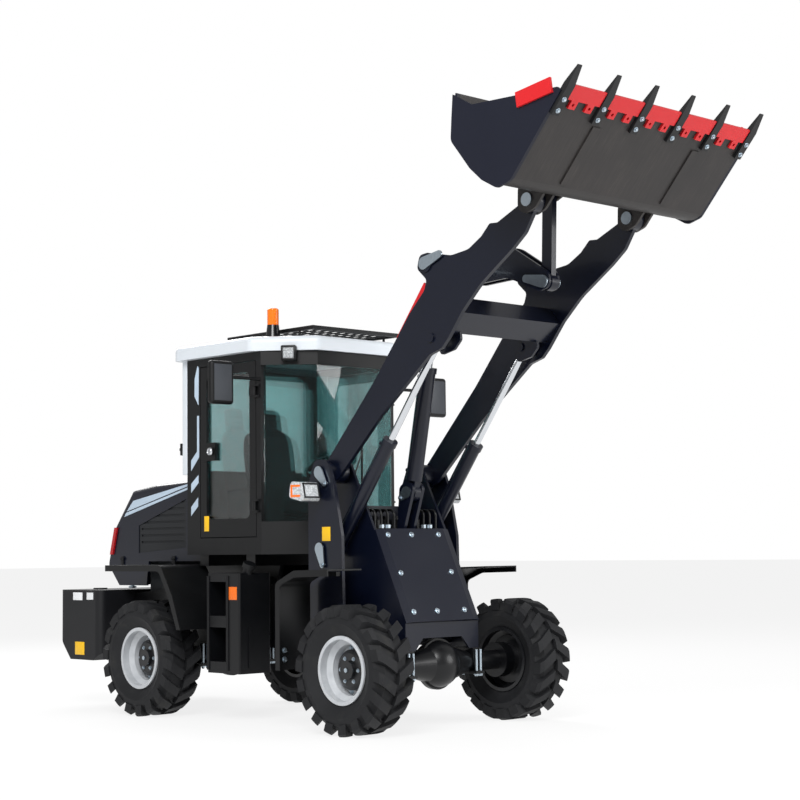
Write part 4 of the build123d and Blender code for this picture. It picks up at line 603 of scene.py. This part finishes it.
# silver film: a tapering band along the hood above its vents, and a broken stripe down each rear door post
stripes = {"hoodFace": 0.4803, "postFace": 0.6403, "thickness": 0.0016,
           "hood": (((-1.854, 1.472), (-1.02, 1.662), (-1.02, 1.678), (-1.83, 1.503)),
                    ((-1.822, 1.513), (-1.02, 1.687), (-1.02, 1.703), (-1.734, 1.594))),
           "post": (((-0.728, 2.46), (-0.694, 2.553), (-0.679, 2.538), (-0.683, 2.262), (-0.73, 2.331)),
                    ((-0.7, 2.185), (-0.676, 2.185), (-0.676, 1.882), (-0.772, 1.785), (-0.772, 1.86),
                     (-0.7, 1.925)),
                    ((-0.684, 1.752), (-0.684, 1.694), (-0.772, 1.625), (-0.772, 1.69)),
                    ((-0.689, 1.589), (-0.689, 1.524), (-0.772, 1.455), (-0.772, 1.52)))}


def addFilm(mesh, outline, y, thickness):
    film = mesh.faces.new([mesh.verts.new(at(x, y, z)) for x, z in outline])
    raised = bmesh.ops.extrude_face_region(mesh, geom=[film])
    top = [part for part in raised["geom"] if isinstance(part, bmesh.types.BMVert)]
    bmesh.ops.translate(mesh, verts=top, vec=(0, thickness, 0))


for name, face, outlines, body in (("hoodStripes", stripes["hoodFace"], stripes["hood"], "hood"),
                                   ("postStripes", stripes["postFace"], stripes["post"], "rear_frame")):
    band = bmesh.new()
    for side in (-1, 1):
        for outline in outlines:
            addFilm(band, outline, side * face, side * stripes["thickness"])
    addPiece(band, name, silverFilm, body)

# blank film labels: name, place, width along X, height, finish, body, slot
labels = {"thickness": 0.0015, "rows": (
    ("doorLabel", (-0.588, -0.6408, 1.395), 0.055, 0.11, yellowFilm, "door_right", "amber_lens"),
    ("towerLabel", (0.636, -0.5608, 1.304), 0.085, 0.095, yellowFilm, "front_frame", "amber_lens"),
    ("tankLabel", (-0.145, -0.7508, 0.9), 0.09, 0.09, orangeFilm, "rear_frame", "amber_lens"),
    ("weightLabelRear", (-2.23, -0.6608, 0.855), 0.13, 0.06, whiteFilm, "rear_frame", "white_plastic"),
    ("weightLabelFront", (-2.06, -0.6608, 0.858), 0.09, 0.055, whiteFilm, "rear_frame", "white_plastic"),
    ("weightLabelLow", (-2.2, -0.6608, 0.45), 0.13, 0.1, yellowFilm, "rear_frame", "amber_lens"))}
for name, place, width, height, finish, body, slot in labels["rows"]:
    label = bmesh.new()
    addBox(label, at(*place), (width, labels["thickness"], height), soften=0.0005)
    addPiece(label, name, finish, body)
print("stripes and labels laid")

# work lamps: a bezel with nine moulded lenses on the front of each housing
workLamp = {"place": (0.2416, 0.5556, 2.575), "facing": (0.644, 0.765), "size": 0.1, "bezel": 0.012,
            "bezelDepth": 0.01, "bezelStand": 0.004, "lens": 0.0115, "lensPitch": 0.025, "lensStand": 0.003}
bezels = bmesh.new()
lenses = bmesh.new()
for side in (-1, 1):
    facing = Vector((workLamp["facing"][0], side * workLamp["facing"][1], 0)).normalized()
    sideways = facing.cross(Vector((0, 0, 1)))
    centre = at(workLamp["place"][0], side * workLamp["place"][1], workLamp["place"][2])
    turn = Matrix((sideways, facing, Vector((0, 0, 1)))).transposed().to_4x4()
    reach = workLamp["size"] / 2 - workLamp["bezel"] / 2
    front = centre + facing * workLamp["bezelStand"]
    for offset in (-reach, reach):
        addBox(bezels, front + sideways * offset,
               (workLamp["bezel"], workLamp["bezelDepth"], workLamp["size"]), turn, 0.002)
        addBox(bezels, front + Vector((0, 0, offset)),
               (workLamp["size"], workLamp["bezelDepth"], workLamp["bezel"]), turn, 0.002)
    addBox(lenses, centre + facing * 0.001, (workLamp["size"] - 0.01, 0.003, workLamp["size"] - 0.01), turn)
    for column in (-1, 0, 1):
        for row in (-1, 0, 1):
            spot = (centre + (sideways * column + Vector((0, 0, row))) * workLamp["lensPitch"]
                    + facing * workLamp["lensStand"])
            flattened = Matrix.Translation(spot) @ turn @ Matrix.Diagonal((1, 0.55, 1, 1))
            bmesh.ops.create_uvsphere(lenses, u_segments=16, v_segments=8, radius=workLamp["lens"],
                                      matrix=flattened)
addPiece(bezels, "workLampBezels", lampBlack, "rear_frame")
addPiece(lenses, "workLampLenses", clearLens, "rear_frame")

# headlamps: an amber C on each outer side and a dark rim round the front
headLamp = {"face": 0.7503, "thickness": 0.003, "rear": 0.492, "front": 0.588, "low": 1.553, "high": 1.638,
            "bar": 0.017, "frontX": 0.6195, "frontY": 0.6775, "frontZ": 1.598, "lean": 12.2, "width": 0.138,
            "height": 0.104, "rim": 0.01, "rimDepth": 0.012}
ambers = bmesh.new()
rims = bmesh.new()
leanTurn = Matrix.Rotation(math.radians(-headLamp["lean"]), 4, "Y")
lampUp = leanTurn @ Vector((0, 0, 1))
barHalf = headLamp["bar"] / 2
for side in (-1, 1):
    y = side * (headLamp["face"] + headLamp["thickness"] / 2)
    middle = (headLamp["rear"] + headLamp["front"]) / 2
    run = headLamp["front"] - headLamp["rear"]
    addBox(ambers, at(headLamp["rear"] + barHalf, y, (headLamp["low"] + headLamp["high"]) / 2),
           (headLamp["bar"], headLamp["thickness"], headLamp["high"] - headLamp["low"]), soften=0.001)
    for z in (headLamp["low"] + barHalf, headLamp["high"] - barHalf):
        addBox(ambers, at(middle + barHalf, y, z),
               (run - headLamp["bar"], headLamp["thickness"], headLamp["bar"] * 0.8), soften=0.001)
    centre = at(headLamp["frontX"], side * headLamp["frontY"], headLamp["frontZ"])
    reach = headLamp["width"] / 2 - headLamp["rim"] / 2
    for offset in (-reach, reach):
        addBox(rims, centre + Vector((0, offset, 0)),
               (headLamp["rimDepth"], headLamp["rim"], headLamp["height"]), leanTurn, 0.002)
    rise = headLamp["height"] / 2 - headLamp["rim"] / 2
    for offset in (-rise, rise):
        addBox(rims, centre + lampUp * offset,
               (headLamp["rimDepth"], headLamp["width"], headLamp["rim"]), leanTurn, 0.002)
addPiece(ambers, "headLampAmbers", amberLens, "front_frame")
addPiece(rims, "headLampRims", lampBlack, "front_frame")

# mirror glass towards the cab and a grey shell towards the front
mirror = {"x": 0.09, "y": 1.035, "z": 2.35, "half": 0.028, "width": 0.16, "height": 0.26, "pane": 0.003,
          "shell": 0.006, "shellInset": 0.01}
panes = bmesh.new()
shells = bmesh.new()
for side in (-1, 1):
    centre = at(mirror["x"], side * mirror["y"], mirror["z"])
    depth = Vector((mirror["half"], 0, 0))
    addBox(panes, centre - depth, (mirror["pane"], mirror["width"], mirror["height"]), soften=0.0012)
    shellSize = [mirror[key] - mirror["shellInset"] for key in ("width", "height")]
    addBox(shells, centre + depth, (mirror["shell"], *shellSize), soften=0.0025)
addPiece(panes, "mirrorPanes", mirrorGlass, "rear_frame")
addPiece(shells, "mirrorShells", shellGrey, "rear_frame")
print("lamps and mirrors finished")

# wiper, pipe nuts, steering wheel spokes, hood latches, post latches, door locks and the towing pin
wiper = {"x": 0.338, "pivot": (-0.2, 1.375), "elbow": (0.04, 1.9), "bladeHalf": 0.33}
arms = bmesh.new()
pivot = at(wiper["x"], *wiper["pivot"])
elbow = at(wiper["x"] + 0.012, *wiper["elbow"])
addRod(arms, pivot - Vector((0.008, 0, 0)), pivot + Vector((0.02, 0, 0)), 0.018)
addRod(arms, pivot + Vector((0.012, 0, 0)), elbow, 0.008, segments=12, tip=0.005)
addBox(arms, elbow - Vector((0.008, 0, 0)), (0.012, 0.014, 2 * wiper["bladeHalf"]), soften=0.003)
addBox(arms, elbow - Vector((0.013, 0, 0)), (0.01, 0.004, 2 * wiper["bladeHalf"] - 0.01))
addPiece(arms, "wiper", lampBlack, "rear_frame")

pipeNuts = {"x": 0.83, "sides": (0.17, 0.23), "z": 1.34, "height": 0.024, "radius": 0.0185}
nuts = bmesh.new()
for y in pipeNuts["sides"] + tuple(-y for y in pipeNuts["sides"]):
    foot = at(pipeNuts["x"], y, pipeNuts["z"])
    addRod(nuts, foot, foot + Vector((0, 0, pipeNuts["height"])), pipeNuts["radius"], segments=6)
addPiece(nuts, "pipeNuts", zinc, "front_frame")

wheelSpokes = {"centre": (0.045, 0, 1.805), "lean": -25.0, "start": 0.03, "reach": 0.172, "dish": 0.06,
               "radius": 0.0065, "turns": (90, 210, 330), "hubLow": -0.008, "hubHigh": 0.024, "hubRadius": 0.04,
               "hubTip": 0.03}
spokes = bmesh.new()
leanBack = Matrix.Rotation(math.radians(wheelSpokes["lean"]), 4, "Y")
hub = at(*wheelSpokes["centre"])
for turn in wheelSpokes["turns"]:
    turn = math.radians(turn)
    way = leanBack @ Vector((math.cos(turn), math.sin(turn), wheelSpokes["dish"]))
    addRod(spokes, hub + way * wheelSpokes["start"], hub + way * wheelSpokes["reach"], wheelSpokes["radius"],
           segments=14)
hubLow, hubHigh = (hub + leanBack @ Vector((0, 0, wheelSpokes[key])) for key in ("hubLow", "hubHigh"))
addRod(spokes, hubLow, hubHigh, wheelSpokes["hubRadius"], segments=28, tip=wheelSpokes["hubTip"])
addPiece(spokes, "steeringSpokes", chrome, "rear_frame")

hoodLatch = {"places": (-1.87, -1.2), "strap": (0.4865, 1.12), "strapSize": (0.03, 0.013, 0.09),
             "grip": (0.4925, 1.145), "gripSize": (0.044, 0.012, 0.018), "soften": 0.004}
latches = bmesh.new()
for side in (-1, 1):
    for x in hoodLatch["places"]:
        for part in ("strap", "grip"):
            y, z = hoodLatch[part]
            addBox(latches, at(x, side * y, z), hoodLatch[part + "Size"], soften=hoodLatch["soften"])
addPiece(latches, "hoodLatches", rubber, "hood")

postLatch = {"x": -0.835, "y": 0.612, "z": 1.95, "block": -0.068, "blockSize": (0.03, 0.05, 0.09),
             "knobStart": -0.083, "knobEnd": -0.1, "knobRadius": 0.019, "knobTip": 0.016}
latches = bmesh.new()
for side in (-1, 1):
    spot = at(postLatch["x"], side * postLatch["y"], postLatch["z"])
    addBox(latches, spot + Vector((postLatch["block"], 0, 0)), postLatch["blockSize"], soften=0.006)
    start, end = (spot + Vector((postLatch[key], 0, 0)) for key in ("knobStart", "knobEnd"))
    addRod(latches, start, end, postLatch["knobRadius"], segments=20, tip=postLatch["knobTip"])
addPiece(latches, "postLatches", lampBlack, "rear_frame")

locks = {"place": (-0.523, 0.662, 1.915), "sides": {"left": 1, "right": -1}, "height": 0.006, "radius": 0.03,
         "tip": 0.026, "ring": 0.02, "wire": 0.003, "keyway": 0.0065, "keywaySize": (0.003, 0.002, 0.012)}
for name, side in locks["sides"].items():
    lock = bmesh.new()
    x, y, z = locks["place"]
    middle = at(x, side * y, z)
    face = middle + Vector((0, side * locks["height"], 0))
    addRod(lock, middle, face, locks["radius"], segments=32, tip=locks["tip"])
    addRing(lock, face, (0, 1, 0), locks["ring"], locks["wire"], steps=32)
    addBox(lock, middle + Vector((0, side * locks["keyway"], 0)), locks["keywaySize"])
    addPiece(lock, "doorLock_" + name, chrome, "door_" + name)

towing = {"x": -2.43, "z": 0.905, "low": -0.16, "high": 0.02, "radius": 0.017, "collarLow": 0.002,
          "collarHigh": 0.016, "collar": 0.032, "ringHeight": 0.045, "ring": 0.03, "wire": 0.006}
towPin = bmesh.new()
for low, high, radius in (("low", "high", "radius"), ("collarLow", "collarHigh", "collar")):
    start, end = (at(towing["x"], 0, towing["z"] + towing[key]) for key in (low, high))
    addRod(towPin, start, end, towing[radius])
ringPlace = at(towing["x"], 0, towing["z"] + towing["ringHeight"])
addRing(towPin, ringPlace, (0, 1, 0), towing["ring"], towing["wire"], steps=32)
addPiece(towPin, "towPin", zinc, "rear_frame")
print("small fittings placed")

stage = {"floorSize": 120.0, "floorColor": "#f4f4f4", "floorGlow": 0.82, "worldLight": 0.45,
         "lampAim": (0, 0, 1.6)}
floorMesh = bmesh.new()
bmesh.ops.create_grid(floorMesh, x_segments=2, y_segments=2, size=stage["floorSize"])
floorData = bpy.data.meshes.new("floor")
floorMesh.to_mesh(floorData)
floorMesh.free()
floor = bpy.data.objects.new("floor", floorData)
bpy.context.scene.collection.objects.link(floor)
floorMaterial = bpy.data.materials.new("paleFloor")
floorMaterial.use_nodes = True
floorTree = floorMaterial.node_tree
floorTree.nodes.clear()
matt = addNode(floorTree, "ShaderNodeBsdfDiffuse", {"Color": linear(stage["floorColor"])})
white = addNode(floorTree, "ShaderNodeEmission", {"Color": grey(1.0), "Strength": 1.0})
path = addNode(floorTree, "ShaderNodeLightPath")
seen = addNode(floorTree, "ShaderNodeMath", {"operation": "MAXIMUM"},
               {0: path.outputs["Is Camera Ray"], 1: path.outputs["Is Glossy Ray"]})
glow = addNode(floorTree, "ShaderNodeMath", {"operation": "MULTIPLY", 1: stage["floorGlow"]},
               {0: seen.outputs[0]})
mixed = addNode(floorTree, "ShaderNodeMixShader",
                links={0: glow.outputs[0], 1: matt.outputs[0], 2: white.outputs[0]})
addNode(floorTree, "ShaderNodeOutputMaterial", links={"Surface": mixed.outputs[0]})
floorData.materials.append(floorMaterial)

world = bpy.data.worlds.new("studio")
bpy.context.scene.world = world
world.use_nodes = True
worldTree = world.node_tree
worldTree.nodes.clear()
path = addNode(worldTree, "ShaderNodeLightPath")
seen = addNode(worldTree, "ShaderNodeMath", {"operation": "MAXIMUM"},
               {0: path.outputs["Is Camera Ray"], 1: path.outputs["Is Transmission Ray"]})
level = addNode(worldTree, "ShaderNodeMapRange", {"To Min": stage["worldLight"], "To Max": 1.0},
                {"Value": seen.outputs[0]})
sky = addNode(worldTree, "ShaderNodeBackground", {"Color": grey(1.0)}, {"Strength": level.outputs[0]})
addNode(worldTree, "ShaderNodeOutputWorld", links={"Surface": sky.outputs[0]})

lamps = {
    "keyLamp": {"place": (7.0, -9.0, 9.0), "size": 7.0, "power": 1500.0},
    "fillLamp": {"place": (10.0, 5.0, 4.0), "size": 6.0, "power": 500.0},
    "rearLamp": {"place": (-8.0, 3.0, 8.0), "size": 6.0, "power": 700.0},
}
for name, lamp in lamps.items():
    data = bpy.data.lights.new(name, "AREA")
    data.shape = "DISK"
    data.size = lamp["size"]
    data.energy = lamp["power"]
    lampObject = bpy.data.objects.new(name, data)
    aim = Vector(stage["lampAim"]) - Vector(lamp["place"])
    facing = aim.to_track_quat("-Z", "Y").to_matrix().to_4x4()
    lampObject.matrix_world = Matrix.Translation(lamp["place"]) @ facing
    bpy.context.scene.collection.objects.link(lampObject)

view = {"place": (9.753, -8.518, 1.191), "azimuth": 136.469, "elevation": 4.814, "roll": -0.647,
        "focalPixels": 1779.07, "pixels": 800, "sensorWidth": 36.0}
azimuth, elevation, roll = (math.radians(view[key]) for key in ("azimuth", "elevation", "roll"))
ahead = Vector((math.cos(elevation) * math.cos(azimuth), math.cos(elevation) * math.sin(azimuth),
                math.sin(elevation)))
right = ahead.cross(Vector((0, 0, 1))).normalized()
upward = right.cross(ahead)
across = math.cos(roll) * right + math.sin(roll) * upward
above = -math.sin(roll) * right + math.cos(roll) * upward
cameraData = bpy.data.cameras.new("camera")
cameraData.sensor_fit = "HORIZONTAL"
cameraData.sensor_width = view["sensorWidth"]
cameraData.lens = view["sensorWidth"] * view["focalPixels"] / view["pixels"]
camera = bpy.data.objects.new("camera", cameraData)
turn = Matrix((across, above, -ahead)).transposed().to_4x4()
camera.matrix_world = Matrix.Translation(at(*view["place"])) @ turn
bpy.context.scene.collection.objects.link(camera)
bpy.context.scene.camera = camera
bpy.context.scene.view_settings.view_transform = "Standard"
print("stage, lamps and camera placed")
